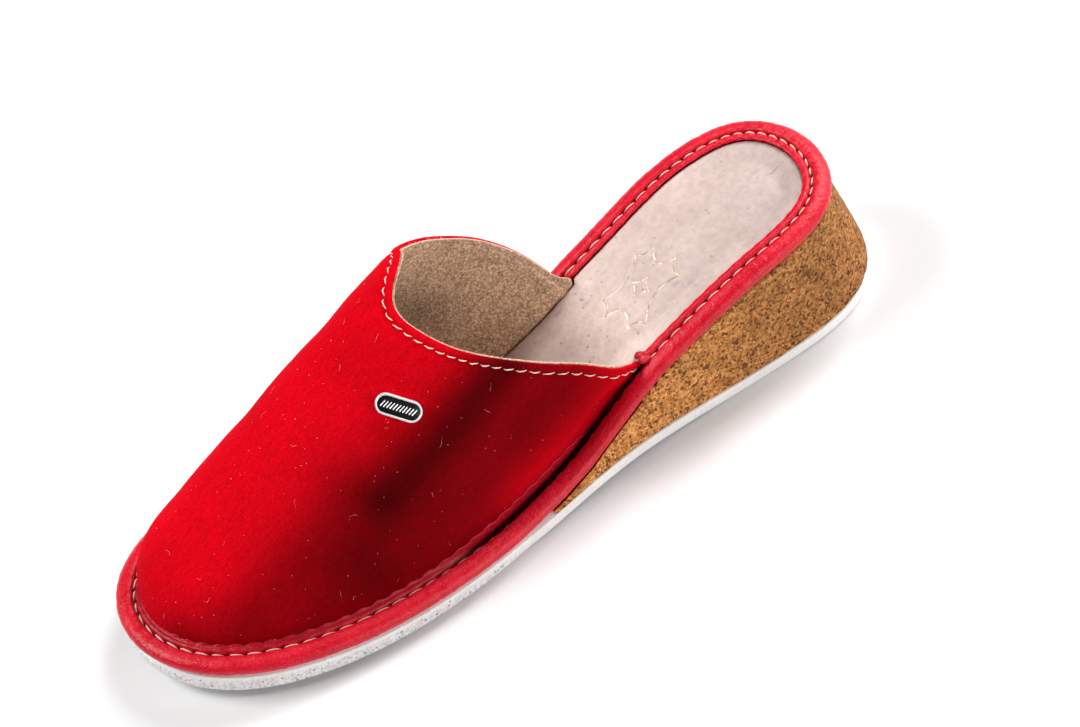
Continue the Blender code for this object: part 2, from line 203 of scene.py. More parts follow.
def spline_slopes(knots, values, ends):
    """Slopes at the knots of a cubic spline whose ends are "closed", "free" or "flat" at the last."""
    closed = ends == "closed"
    count = len(knots) - 1 if closed else len(knots)
    matrix = np.zeros((count, count))
    right = np.zeros(count)
    step = np.diff(knots)
    rise = np.diff(values) / step
    for k in range(count):
        if closed or 0 < k < count - 1:
            before, after = step[k - 1], step[k]
            matrix[k, k - 1] += 1.0 / before
            matrix[k, k] += 2.0 / before + 2.0 / after
            matrix[k, (k + 1) % count] += 1.0 / after
            right[k] = 3.0 * (rise[k - 1] / before + rise[k] / after)
    if not closed:
        matrix[0, 0], matrix[0, 1], right[0] = 2.0, 1.0, 3.0 * rise[0]
        matrix[-1, -1] = 1.0
    if ends == "free":
        matrix[-1, -2], matrix[-1, -1], right[-1] = 1.0, 2.0, 3.0 * rise[-1]
    slopes = np.linalg.solve(matrix, right)
    return np.append(slopes, slopes[0]) if closed else slopes


def spline(knots, values, x, ends="free"):
    """Value and slope of the cubic spline at x."""
    slopes = spline_slopes(knots, values, ends)
    k = np.clip(np.searchsorted(knots, x, side="right") - 1, 0, len(knots) - 2)
    step = knots[k + 1] - knots[k]
    t = (x - knots[k]) / step
    rise = values[k + 1] - values[k]
    bend_0 = slopes[k] * step - rise
    bend_1 = rise - slopes[k + 1] * step
    value = values[k] + t * rise + t * (1 - t) * (bend_0 * (1 - t) + bend_1 * t)
    slope = (
        rise + (1 - 2 * t) * (bend_0 * (1 - t) + bend_1 * t) + t * (1 - t) * (bend_1 - bend_0)
    ) / step
    return value, slope


def outline(turn, inset=0.0):
    """Plan point of the rand's outline, moved inwards; turn runs heel, lateral, toe, medial."""
    half = np.arccos(1.0 - 2.0 * column(OUTLINE, 0))
    knots = np.concatenate([half, 2.0 * math.pi - half[-2::-1]])
    lateral, medial = column(OUTLINE, 1), column(OUTLINE, 2)
    values = SHOE_WIDTH * np.concatenate([lateral, -medial[-2::-1]])
    turn = np.mod(turn, 2.0 * math.pi)
    y, y_slope = spline(knots, values, turn, "closed")
    x = 0.5 * SHOE_LENGTH * (1.0 - np.cos(turn))
    x_slope = 0.5 * SHOE_LENGTH * np.sin(turn)
    size = np.hypot(x_slope, y_slope)
    return x + inset * y_slope / size, y - inset * x_slope / size


def tread_z(x):
    """Underside of the outsole."""
    along = x / SHOE_LENGTH
    spring = np.clip((along - SPRING_START) / (1.0 - SPRING_START), 0.0, None)
    arch = np.clip((along - ARCH_START) / (ARCH_END - ARCH_START), 0.0, 1.0)
    return TOE_SPRING * spring**2 + ARCH_RISE * np.sin(math.pi * arch) ** 2


def outsole_top_z(x):
    """Top of the outsole, on which the wedge stands."""
    share = smooth((x / SHOE_LENGTH - TREAD_TAPER_START) / (1.0 - TREAD_TAPER_START))
    growth = OUTSOLE_TOE_THICKNESS - OUTSOLE_HEEL_THICKNESS
    return tread_z(x) + OUTSOLE_HEEL_THICKNESS + growth * share


def wedge_thickness(x):
    share = monotone_curve(column(WEDGE, 0), column(WEDGE, 1), x / SHOE_LENGTH)
    return WEDGE_HEIGHT * share


def platform_z(x):
    """Seat of rand, insole and upper."""
    return outsole_top_z(x) + CLEARANCE + wedge_thickness(x)


def floor_flare(turn):
    """How far the floor edge stands outside the rand's outline."""
    along = 0.5 * (1.0 - np.cos(turn))
    heel = np.clip(1.0 - along / FLARE_END, 0.0, 1.0) ** FLARE_POWER
    back = np.clip(np.cos(turn), 0.0, 1.0) ** BACK_FLARE_POWER
    sides = -FOREFOOT_INSET + (HEEL_SIDE_FLARE + FOREFOOT_INSET) * heel
    return sides + (HEEL_BACK_FLARE - HEEL_SIDE_FLARE) * back


class VampSide:
    """One side of the upper's outer surface, from the platform up to the ridge."""

    def __init__(self, lateral):
        self.sign = 1.0 if lateral else -1.0
        self.bulge_column = 2 if lateral else 3
        self.bulge = LATERAL_BULGE if lateral else MEDIAL_BULGE
        self.roll = THROAT_ROLL if lateral else 0.0
        self.topline = column(TOPLINE, 1 if lateral else 2) * SHOE_LENGTH
        turns = np.linspace(0.0, math.pi, TABLE_STEPS) * self.sign
        self.seat_x, self.seat_y = outline(turns, RAND_WIDTH + CLEARANCE)

    def topline_x(self, climb):
        return spline(column(TOPLINE, 0), self.topline, climb, "flat")[0]

    def point(self, seat_x, climb):
        """Surface point above the seam at seat_x; climb is 0 at the platform and 1 at the ridge."""
        front = self.seat_x[-1]
        seat_y = np.interp(seat_x, self.seat_x, self.seat_y)
        fan = smooth(1.0 + (seat_x - front) / TOE_FAN_SPAN)
        ridge_x = seat_x - TOE_RIB_SPAN * fan
        along = seat_x / SHOE_LENGTH
        rows = column(UPPER, 0)
        power = 2.0 / spline(rows, column(UPPER, 4), along)[0]
        across = np.cos(0.5 * math.pi * climb) ** power
        rise = np.sin(0.5 * math.pi * climb) ** power
        x = ridge_x + (seat_x - ridge_x) * across
        ridge = INSTEP_HEIGHT * spline(rows, column(UPPER, 1), x / SHOE_LENGTH)[0]
        seat_z = platform_z(seat_x)
        height = (platform_z(x) + ridge - seat_z) * rise
        above = smooth((height - RAND_FLANGE_HEIGHT) / THROAT_ROLL_HEIGHT)
        bulge = self.bulge * spline(rows, column(UPPER, self.bulge_column), along)[0]
        sag = self.roll * monotone_curve(column(ROLL, 0), column(ROLL, 1), along)
        lobe = (height - RAND_FLANGE_HEIGHT) / THROAT_ROLL_HEIGHT
        lobe = np.clip(lobe, 0.0, None)
        outward = bulge * np.sin(math.pi * climb) * above + sag * lobe * np.exp(1.0 - lobe) * above
        y = -RIDGE_OFFSET + (seat_y + RIDGE_OFFSET) * across + self.sign * outward
        return np.stack([x, y, seat_z + height], axis=-1)


def stadium(length, width, height, corner_points=22):
    """Loop of a flat stadium shape."""
    radius = 0.5 * width
    points = []
    for end in (1.0, -1.0):
        for k in range(corner_points + 1):
            angle = math.pi * (k / corner_points - 0.5) + (0.0 if end > 0 else math.pi)
            centre = end * 0.5 * (length - width)
            points.append((centre + radius * math.cos(angle), radius * math.sin(angle), height))
    return np.array(points)


def badge_seat():
    """Centre, long direction, short direction and normal of the badge on the vamp."""
    side = VampSide(True)
    x = BADGE_ALONG * SHOE_LENGTH
    step = 0.001
    centre = side.point(np.array(x), BADGE_CLIMB)
    forward = side.point(np.array(x + step), BADGE_CLIMB) - side.point(np.array(x - step), BADGE_CLIMB)
    upward = side.point(np.array(x), BADGE_CLIMB + step) - side.point(np.array(x), BADGE_CLIMB - step)
    forward /= np.linalg.norm(forward)
    normal = np.cross(forward, upward)
    normal /= np.linalg.norm(normal)
    if normal[2] < 0.0:
        normal = -normal
    side_way = np.cross(normal, forward)
    long_way = forward * math.cos(BADGE_TURN) + side_way * math.sin(BADGE_TURN)
    return centre, long_way, np.cross(normal, long_way), normal


def seat_gap(length, width, seat):
    """Distance that the flat badge needs above its centre point to clear the curved vamp."""
    centre, long_way, short_way, normal = seat
    side = VampSide(True)
    reach = 0.5 * length
    xs = np.linspace(-reach, reach, 25)
    x, climb = np.meshgrid(centre[0] + xs, BADGE_CLIMB + 2.0 * xs / INSTEP_HEIGHT)
    offsets = side.point(x, climb) - centre
    under = (np.abs(offsets @ long_way) < 0.5 * length) & (np.abs(offsets @ short_way) < 0.5 * width)
    return float(np.max((offsets @ normal)[under])) + CLEARANCE


def place_on_vamp(loop, seat, lift):
    """A flat loop of the badge's own frame, laid over the vamp."""
    centre, long_way, short_way, normal = seat
    basis = np.stack([long_way, short_way, normal])
    return centre + (loop + np.array([0.0, 0.0, lift])) @ basis


def ring(turns, inset, z_of_x, lift=0.0):
    """Loop at an inset from the rand's outline, lifted above a height that follows x."""
    x, y = outline(turns, inset)
    return np.column_stack([x, y, z_of_x(x) + lift])


def box_shift():
    """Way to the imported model's frame, whose origin is the middle of the shoe's plan box."""
    lateral = np.linspace(0.0, math.pi, HALF_STEPS + 1)
    turns = np.concatenate([lateral, -lateral[-2:0:-1]])
    x, y = outline(turns, -np.maximum(floor_flare(turns), 0.0))
    return np.array([-0.5 * (x.min() + x.max()), -0.5 * (y.min() + y.max()), 0.0])


SHIFT = box_shift()


# Noise and meshes

def hashed(cells, seed):
    """A repeatable number from 0 to 1 for each integer cell."""
    mixed = np.full(cells.shape[:-1], 2166136261 + 7919 * seed, dtype=np.uint64)
    for axis, prime in enumerate((73856093, 19349663, 83492791)):
        mixed ^= (cells[..., axis].astype(np.int64) + 100000).astype(np.uint64) * np.uint64(prime)
        mixed *= np.uint64(1099511628211)
        mixed ^= mixed >> np.uint64(29)
    return (mixed & np.uint64(0xFFFFFF)).astype(float) / 0xFFFFFF


def noise(points, cell, seed=0):
    """Smooth noise from -1 to 1 with the given cell size, one size or one for each axis."""
    scaled = points / np.asarray(cell)
    base = np.floor(scaled)
    share = smooth(scaled - base)
    total = np.zeros(points.shape[:-1])
    for corner in np.ndindex(2, 2, 2):
        weight = np.ones(points.shape[:-1])
        for axis, side in enumerate(corner):
            weight = weight * (share[..., axis] if side else 1.0 - share[..., axis])
        total += weight * hashed((base + np.array(corner)).astype(np.int64), seed)
    return 2.0 * total - 1.0


def strip_quads(first, second, closed=False):
    """Quads between two equally long rows of vertex indices."""
    if closed:
        first, second = np.append(first, first[0]), np.append(second, second[0])
    return np.column_stack([first[:-1], first[1:], second[1:], second[:-1]])


def fan(loop):
    """Triangles that close a loop of vertex indices from its first one."""
    return [(loop[0], loop[k], loop[k + 1]) for k in range(1, len(loop) - 1)]


def grid_quads(indices, closed=False):
    """Quads over a table of vertex indices; closed joins the last column to the first."""
    return np.concatenate([strip_quads(a, b, closed) for a, b in zip(indices, indices[1:])])


def add_attribute(mesh, name, values):
    layer = mesh.attributes.new(name, "FLOAT", "POINT")
    layer.data.foreach_set("value", np.asarray(values, dtype=np.float32).ravel())


def new_object(name, verts, quads, triangles=None, attributes=None):
    """Smooth-shaded mesh object from arrays in the shoe's own frame."""
    verts = np.asarray(verts, dtype=float) + SHIFT
    corners = [np.asarray(quads, dtype=np.int64).reshape(-1, 4)]
    if triangles is not None and len(triangles):
        corners.append(np.asarray(triangles, dtype=np.int64).reshape(-1, 3))
    sizes = np.concatenate([np.full(len(c), c.shape[1]) for c in corners])
    flat = np.concatenate([c.ravel() for c in corners])
    mesh = bpy.data.meshes.new(name)
    mesh.vertices.add(len(verts))
    mesh.vertices.foreach_set("co", verts.astype(np.float32).ravel())
    mesh.loops.add(len(flat))
    mesh.loops.foreach_set("vertex_index", flat.astype(np.int32))
    mesh.polygons.add(len(sizes))
    mesh.polygons.foreach_set("loop_start", (np.cumsum(sizes) - sizes).astype(np.int32))
    mesh.update(calc_edges=True)
    for key, values in (attributes or {}).items():
        add_attribute(mesh, key, values)
    bm = bmesh.new()
    bm.from_mesh(mesh)
    bmesh.ops.recalc_face_normals(bm, faces=bm.faces)
    bm.to_mesh(mesh)
    bm.free()
    mesh.shade_smooth()
    obj = bpy.data.objects.new(name, mesh)
    bpy.context.scene.collection.objects.link(obj)
    return obj


def vertex_arrays(mesh):
    """Places in the shoe's own frame and normals of a mesh's vertices."""
    places = np.zeros(len(mesh.vertices) * 3, np.float32)
    normals = np.zeros(len(mesh.vertices) * 3, np.float32)
    mesh.vertices.foreach_get("co", places)
    mesh.vertex_normals.foreach_get("vector", normals)
    return places.reshape(-1, 3).astype(float) - SHIFT, normals.reshape(-1, 3).astype(float)


def set_places(mesh, places):
    mesh.vertices.foreach_set("co", (places + SHIFT).astype(np.float32).ravel())
    mesh.update()


def along_line(run, length, values):
    """Values of a polyline's points, three to a point, worked out at lengths along it."""
    return np.column_stack([np.interp(run, length, values[:, axis]) for axis in range(3)])


def nearest_on_line(points, line):
    """Distance from each point to a polyline, and the length along the line at the nearest place."""
    along = line_lengths(line)
    fine = np.linspace(0.0, along[-1], max(2, int(along[-1] / (0.2 * MM))))
    dense = along_line(fine, along, line)
    tree = KDTree(len(dense))
    for k, place in enumerate(dense):
        tree.insert(place, k)
    tree.balance()
    found = [tree.find(place)[1:] for place in points]
    index = np.array([item[0] for item in found])
    return np.array([item[1] for item in found]), fine[index]


def finish_piece(obj, material, slot, *nodes):
    """Gives a piece its material and body, and hides the solids that it stands for."""
    obj.data.materials.append(material)
    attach(obj, "root")
    if nodes:
        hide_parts(*nodes)
    return obj


# Run of the outline, by length

class Run:
    """Even steps round the rand's outline, from the heel over the outer side, toe and inner side."""

    def __init__(self, step):
        turn = np.linspace(0.0, 2.0 * math.pi, 8001)
        x, y = outline(turn)
        length = running_sum(np.hypot(np.diff(x), np.diff(y)))
        self.total = length[-1]
        self.count = int(round(self.total / step))
        self.length = np.arange(self.count) * self.total / self.count
        self.turn = np.interp(self.length, length, turn)
        self.along = outline(self.turn)[0] / SHOE_LENGTH
        self.lateral = self.turn < math.pi

    def points(self, inset, height):
        """Points at insets and heights above the platform, arrays whose first axis is the run."""
        inset = np.broadcast_to(inset, np.broadcast_shapes(np.shape(inset), np.shape(height)))
        turn = self.turn if inset.ndim == 1 else self.turn[:, None]
        x, y = outline(np.broadcast_to(turn, inset.shape), inset)
        return np.stack([x, y, platform_z(x) + height], axis=-1)


def seam_phase(run):
    """Count of rand stitches passed along the run; whole numbers are needle holes."""
    step = run.total / run.count
    forefoot = smooth((run.along - 0.42) / 0.16)
    pitch = HEEL_PITCH + (FOREFOOT_PITCH - HEEL_PITCH) * forefoot
    count = running_sum(step / pitch)
    return count[:-1] * round(count[-1]) / count[-1]


# Materials

def new_material(name, **values):
    """Principled material; underscores in the keywords stand for the spaces of the socket names."""
    material = bpy.data.materials.new(name)
    material.use_nodes = True
    shader = material.node_tree.nodes["Principled BSDF"]
    for key, value in values.items():
        shader.inputs[key.replace("_", " ")].default_value = value
    return material


class Graph:
    """Short way to add nodes to a material."""

    def __init__(self, material):
        self.tree = material.node_tree
        self.shader = self.tree.nodes["Principled BSDF"]
        self.place = self.add("TexCoord").outputs["Object"]

    def add(self, kind, settings=None, **inputs):
        node = self.tree.nodes.new("ShaderNode" + kind)
        for key, value in (settings or {}).items():
            setattr(node, key, value)
        for key, value in inputs.items():
            self.feed(node.inputs[key.replace("_", " ")], value)
        return node

    def feed(self, socket, value):
        """Links another node's output to the socket, or sets a constant on it."""
        if isinstance(value, bpy.types.NodeSocket):
            self.tree.links.new(value, socket)
        elif isinstance(value, tuple) and socket.type == "RGBA":
            socket.default_value = (*value[:3], 1.0)
        else:
            socket.default_value = value

    def to_shader(self, output, socket):
        self.tree.links.new(output, self.shader.inputs[socket])

    def stretched(self, scale):
        return self.add("Mapping", Vector=self.place, Scale=scale).outputs["Vector"]

    def noise(self, scale, detail=3.0, roughness=0.55, vector=None):
        node = self.add(
            "TexNoise", Vector=vector or self.place, Scale=scale, Detail=detail, Roughness=roughness
        )
        return node.outputs["Fac"]

    def cells(self, scale, feature="F1", output="Distance", vector=None):
        node = self.add("TexVoronoi", {"feature": feature}, Vector=vector or self.place, Scale=scale)
        return node.outputs[output]

    def ramp(self, value, *stops):
        """Colour or grey ramp through (position, colour) stops."""
        node = self.add("ValToRGB", Fac=value)
        elements = node.color_ramp.elements
        while len(elements) < len(stops):
            elements.new(0.5)
        for element, (position, colour) in zip(elements, stops):
            element.position = position
            element.color = (*colour, 1.0)
        return node.outputs["Color"]

    def mix(self, factor, first, second, blend="MIX"):
        node = self.tree.nodes.new("ShaderNodeMix")
        node.data_type = "RGBA"
        node.blend_type = blend
        # A mix node has sockets of every type; those of a colour mix have these numbers.
        for number, value in ((0, factor), (6, first), (7, second)):
            self.feed(node.inputs[number], value)
        return node.outputs[2]

    def darken(self, colour, shade):
        return self.mix(1.0, colour, shade, "MULTIPLY")

    def math(self, operation, first, second):
        node = self.add("Math", {"operation": operation})
        for socket, value in zip(node.inputs, (first, second)):
            self.feed(socket, value)
        return node.outputs[0]

    def attribute(self, name, output="Fac"):
        return self.add("Attribute", {"attribute_name": name}).outputs[output]

    def bump(self, height, strength, distance, below=None):
        """Bump from a height; below is a coarser bump that this one lies on."""
        node = self.add("Bump", Height=height, Strength=strength, Distance=distance)
        if below is not None:
            self.tree.links.new(below, node.inputs["Normal"])
        return node.outputs["Normal"]

    def set_bump(self, normal):
        self.to_shader(normal, "Normal")


def grey(value):
    return (value, value, value)


def suede_material():
    material = new_material(
        "red_suede", Roughness=0.95, Specular_IOR_Level=0.04, Sheen_Weight=0.30, Sheen_Roughness=0.45,
        Sheen_Tint=(1.0, 0.004, 0.04, 1.0),
    )
    graph = Graph(material)
    nap = graph.noise(1500.0, 4.0, 0.7)
    clouds = graph.noise(45.0, 3.0, 0.5)
    base = graph.ramp(nap, (0.30, (0.56, 0.0003, 0.004)), (0.72, (0.92, 0.0010, 0.012)))
    shade = graph.ramp(clouds, (0.30, grey(0.84)), (0.70, grey(1.0)))
    colour = graph.darken(base, shade)
    streaks = graph.noise(1.0, 4.0, 0.65, graph.stretched((260.0, 900.0, 420.0)))
    uneven = graph.ramp(streaks, (0.30, grey(0.80)), (0.66, grey(1.0)))
    colour = graph.darken(colour, uneven)
    # painted shade: the strokes darken the suede's colour in bands along the vamp
    painted_shade = graph.attribute("painted_shade", "Color")
    colour = graph.darken(colour, painted_shade)
    dust = graph.cells(240.0)
    speck = graph.ramp(dust, (0.016, grey(0.9)), (0.034, grey(0.0)))
    colour = graph.mix(speck, colour, (0.80, 0.30, 0.30))
    graph.to_shader(colour, "Base Color")
    coarse = graph.bump(graph.noise(380.0, 3.0), 0.25, 0.0004)
    graph.set_bump(graph.bump(nap, 0.35, 0.00025, coarse))
    return material


def lining_material():
    material = new_material(
        "tan_lining", Roughness=0.95, Specular_IOR_Level=0.15, Sheen_Weight=0.30, Sheen_Roughness=0.5,
        Sheen_Tint=(1.0, 0.9, 0.75, 1.0),
    )
    graph = Graph(material)
    nap = graph.noise(1150.0, 4.0, 0.8)
    patches = graph.noise(170.0, 4.0, 0.6)
    base = graph.ramp(
        nap, (0.36, (0.26, 0.145, 0.075)), (0.50, (0.56, 0.34, 0.200)), (0.62, (0.92, 0.68, 0.48))
    )
    shade = graph.ramp(patches, (0.32, grey(0.84)), (0.66, grey(1.0)))
    colour = graph.darken(base, shade)
    # painted shade: the strokes darken the lining's colour down its middle
    painted_shade = graph.attribute("painted_shade", "Color")
    colour = graph.darken(colour, painted_shade)
    tufts = graph.ramp(graph.noise(900.0, 3.0), (0.38, grey(0.15)), (0.58, grey(0.70)))
    pale = graph.math("MULTIPLY", graph.attribute("edge"), tufts)
    colour = graph.mix(pale, colour, (0.90, 0.76, 0.64))
    graph.to_shader(colour, "Base Color")
    coarse = graph.bump(patches, 0.3, 0.0005)
    graph.set_bump(graph.bump(nap, 0.6, 0.0004, coarse))
    return material


def leather_material():
    material = new_material(
        "rand_leather_red", Specular_IOR_Level=0.30, Coat_Weight=0.03, Coat_Roughness=0.35
    )
    graph = Graph(material)
    clouds = graph.noise(120.0, 4.0, 0.6)
    base = graph.ramp(clouds, (0.30, (0.58, 0.0015, 0.014)), (0.70, (0.76, 0.004, 0.026)))
    grain = graph.cells(1500.0, "DISTANCE_TO_EDGE")
    creases = graph.ramp(grain, (0.0, grey(0.62)), (0.12, grey(1.0)))
    colour = graph.darken(base, creases)
    # painted shade in the groove and needle holes, painted shadow in the crevice under the vamp
    painted_seam_shade = graph.ramp(graph.attribute("painted_seam_shade"), (0.0, grey(1.0)), (1.0, grey(0.16)))
    colour = graph.darken(colour, painted_seam_shade)
    worn = graph.ramp(graph.noise(2300.0, 2.0), (0.58, grey(0.0)), (0.74, grey(0.40)))
    colour = graph.mix(worn, colour, (0.92, 0.085, 0.13))
    graph.to_shader(colour, "Base Color")
    graph.to_shader(graph.ramp(clouds, (0.30, grey(0.26)), (0.75, grey(0.38))), "Roughness")
    coarse = graph.bump(graph.noise(1300.0, 3.0), 0.55, 0.0003)
    graph.set_bump(graph.bump(grain, 0.60, 0.00022, coarse))
    return material


def pigskin_material():
    material = new_material("pale_pigskin", Specular_IOR_Level=0.35)
    graph = Graph(material)
    clouds = graph.noise(38.0, 4.0, 0.6)
    base = graph.ramp(
        clouds, (0.30, (0.53, 0.405, 0.365)), (0.52, (0.62, 0.485, 0.440)), (0.74, (0.68, 0.55, 0.50))
    )
    # painted shade at the heel and painted light in the throat
    pale = graph.attribute("pale", "Color")
    base = graph.darken(base, pale)
    mottle = graph.ramp(graph.noise(420.0, 4.0, 0.65), (0.34, grey(0.86)), (0.60, grey(1.0)))
    base = graph.darken(base, mottle)
    pores = graph.cells(330.0)
    holes = graph.ramp(pores, (0.090, grey(1.0)), (0.170, grey(0.0)))
    some = graph.ramp(graph.noise(120.0, 2.0), (0.45, grey(0.0)), (0.56, grey(0.85)))
    marks = graph.math("MULTIPLY", holes, some)
    colour = graph.mix(marks, base, (0.34, 0.29, 0.27))
    smudge_cells = graph.cells(75.0, vector=graph.stretched((1.0, 1.9, 1.0)))
    smudges = graph.ramp(smudge_cells, (0.06, grey(0.42)), (0.17, grey(0.0)))
    colour = graph.mix(smudges, colour, (0.30, 0.26, 0.26))
    dots = graph.ramp(graph.cells(160.0), (0.030, grey(0.8)), (0.060, grey(0.0)))
    colour = graph.mix(dots, colour, (0.17, 0.14, 0.13))
    graph.to_shader(colour, "Base Color")
    graph.to_shader(graph.ramp(clouds, (0.30, grey(0.55)), (0.70, grey(0.68))), "Roughness")
    soft = graph.bump(graph.noise(90.0, 3.0), 0.25, 0.0012)
    grain = graph.bump(graph.noise(1100.0, 3.0), 0.45, 0.00018, soft)
    deep = graph.math("SUBTRACT", 1.0, holes)
    graph.set_bump(graph.bump(deep, 0.35, 0.0002, grain))
    return material


def foil_material():
    material = new_material("stamp_foil_gold", Metallic=0.35)
    graph = Graph(material)
    wear = graph.noise(330.0, 3.0)
    # The foil runs from worn brown through gold to a near-white painted glint.
    colour = graph.ramp(
        wear, (0.36, (0.40, 0.25, 0.12)), (0.48, (0.74, 0.58, 0.40)), (0.60, (0.97, 0.92, 0.82))
    )
    graph.to_shader(colour, "Base Color")
    graph.to_shader(graph.ramp(wear, (0.3, grey(0.5)), (0.7, grey(0.3))), "Roughness")
    graph.set_bump(graph.bump(graph.noise(1800.0, 2.0), 0.2, 0.00005))
    return material


def cork_material():
    material = new_material("cork_board", Roughness=0.9, Specular_IOR_Level=0.2)
    graph = Graph(material)
    pushed = graph.add("VectorMath", {"operation": "SCALE"}, Scale=0.0010)
    graph.feed(pushed.inputs[0], graph.noise(300.0, 2.0))
    shaken = graph.add("VectorMath", {"operation": "ADD"})
    graph.feed(shaken.inputs[0], graph.place)
    graph.feed(shaken.inputs[1], pushed.outputs[0])
    place = shaken.outputs[0]
    granule = graph.cells(1250.0, output="Color", vector=place)
    tone = graph.add("SeparateColor", Color=granule)
    base = graph.ramp(
        tone.outputs[0],
        (0.00, (0.25, 0.081, 0.018)),
        (0.22, (0.46, 0.170, 0.042)),
        (0.60, (0.62, 0.256, 0.072)),
        (1.00, (0.78, 0.375, 0.130)),
    )
    to_edge = graph.cells(1250.0, "DISTANCE_TO_EDGE", vector=place)
    gaps = graph.ramp(to_edge, (0.0, grey(0.60)), (0.10, grey(1.0)))
    colour = graph.darken(base, gaps)
    flakes = graph.add("SeparateColor", Color=graph.cells(1150.0, output="Color", vector=place))
    bark = graph.ramp(flakes.outputs[1], (0.84, grey(0.0)), (0.90, grey(0.85)))
    colour = graph.mix(bark, colour, (0.110, 0.034, 0.014))
    broad = graph.ramp(graph.noise(150.0, 4.0), (0.34, grey(0.72)), (0.62, grey(1.0)))
    colour = graph.darken(colour, broad)
    # painted shade at the back of the wedge
    graph.to_shader(graph.darken(colour, graph.attribute("tone", "Color")), "Base Color")
    height = graph.math("ADD", to_edge, graph.noise(1500.0, 2.0))
    graph.set_bump(graph.bump(height, 0.55, 0.0004))
    return material


def foam_material():
    material = new_material("pale_foam", Roughness=0.8, Specular_IOR_Level=0.3)
    graph = Graph(material)
    rough = graph.attribute("rough")
    base = graph.ramp(graph.noise(70.0, 3.0), (0.3, (0.86, 0.83, 0.81)), (0.7, (0.94, 0.91, 0.89)))
    grains = graph.ramp(graph.noise(1000.0, 3.0, 0.75), (0.40, grey(0.65)), (0.58, grey(0.0)))
    colour = graph.mix(graph.math("MULTIPLY", grains, rough), base, (0.44, 0.43, 0.46))
    dots = graph.ramp(graph.cells(520.0), (0.16, grey(0.8)), (0.22, grey(0.0)))
    colour = graph.mix(graph.math("MULTIPLY", dots, rough), colour, (0.13, 0.13, 0.14))
    graph.to_shader(colour, "Base Color")
    cellular = graph.bump(graph.cells(1100.0), 0.5, 0.0003)
    graph.set_bump(graph.bump(graph.noise(2200.0, 2.0), 0.3, 0.0001, cellular))
    return material


def worn_material(name, noise, colours, roughness=(), bump=None, **values):
    """Plain material whose colour, roughness and bump all follow one noise."""
    material = new_material(name, **values)
    graph = Graph(material)
    wear = graph.noise(*noise)
    graph.to_shader(graph.ramp(wear, *colours), "Base Color")
    if roughness:
        graph.to_shader(graph.ramp(wear, *roughness), "Roughness")
    if bump:
        graph.set_bump(graph.bump(wear, *bump))
    return material


def thread_material():
    tones = (0.3, (0.72, 0.50, 0.38)), (0.65, (0.95, 0.76, 0.64))
    return worn_material(
        "cream_thread", (2600.0, 3.0), tones, bump=(0.5, 0.0001),
        Roughness=0.75, Specular_IOR_Level=0.3, Sheen_Weight=0.2,
    )


def lint_material():
    tones = (0.35, (0.70, 0.30, 0.30)), (0.65, (0.90, 0.72, 0.68))
    return worn_material(
        "pale_lint", (300.0, 2.0), tones, bump=(0.2, 0.0001), Roughness=0.9, Specular_IOR_Level=0.2
    )


def steel_material():
    tones = (0.3, grey(0.78)), (0.7, grey(0.92))
    polish = (0.3, grey(0.42)), (0.7, grey(0.26))
    return worn_material("badge_rim_steel", (1800.0, 4.0), tones, polish, (0.15, 0.00005), Metallic=0.45)


def enamel_material():
    tones = (0.3, grey(0.003)), (0.75, grey(0.012))
    polish = (0.3, grey(0.22)), (0.7, grey(0.42))
    return worn_material(
        "badge_field_black", (2400.0, 4.0), tones, polish, (0.2, 0.00004), Specular_IOR_Level=0.25
    )


def floor_material():
    tones = (0.3, grey(0.78)), (0.7, grey(0.82))
    return worn_material("pale_floor", (6.0, 2.0), tones, Roughness=0.9, Specular_IOR_Level=0.1)


# Sizes of the surface work

FOREFOOT_PITCH = 0.0060      # rand stitches, hole to hole
HEEL_PITCH = 0.0050
SEAT_PITCH = 0.0049          # topline stitches, wider near the seats than near the ridge
RIDGE_PITCH = 0.0035
TOPLINE_STITCH_INSET = 0.0024
RAND_THREAD_RADIUS = 0.00027
TOPLINE_THREAD_RADIUS = 0.76 * RAND_THREAD_RADIUS
SUEDE_SHELL = 0.0012         # outer share of the wall; the lining is the rest
LINING_SHELL = 0.00075
LINING_PROUD = 0.0002        # the lining's raw edge stands this far past the folded edge
LINING_TAB = 0.0021          # reach of the lining's rounded tab on the footbed
RIM_STEPS = 7                # rows round a rolled rim
RIM_REACH = 0.0008           # the rolled rims reach this far past the grid's edge
TOE_BULGE = 0.0020           # the vamp's toe stands out over the flange
RIDGE_DRAWN_IN = 0.0018      # the topline's ridge end lies this far toewards
RIDGE_END = 0.011            # length on each side of the ridge that is drawn anew
LOW_END = 0.019              # length over which the outer topline's low end is drawn anew
VAMP_ROWS = 92               # steps from the platform to the ridge
EDGE_SHARE, EDGE_STEPS = 0.036, 24
INNER_COLUMNS = 112          # columns past the fine ones, on each side
SEAM_COLUMNS = 46            # columns beside the topline whose distance from it is worked out
FAIRED_COLUMNS = 60          # columns beside the topline that move with it
FAIRED_DEPTH = 0.014         # depth over which that shift fades out

# Flex creases of the vamp, placed on seat position and climb; a ridge's depth is negative
VAMP_FORMS = (
    # side, along from, climb from, along to, climb to, width mm, depth mm
    ("both", 0.640, 0.95, 0.600, 0.42, 7.0, 0.50),
    ("both", 0.700, 0.98, 0.690, 0.50, 6.0, -0.30),
    ("lateral", 0.760, 0.85, 0.720, 0.30, 6.5, 0.35),
    ("medial", 0.770, 0.90, 0.720, 0.30, 6.5, 0.35),
    ("lateral", 0.480, 0.32, 0.620, 0.16, 6.0, 0.55),
    ("lateral", 0.640, 0.24, 0.800, 0.16, 5.0, 0.40),
    ("both", 0.860, 0.95, 0.900, 0.35, 7.0, 0.30),
)


# Upper

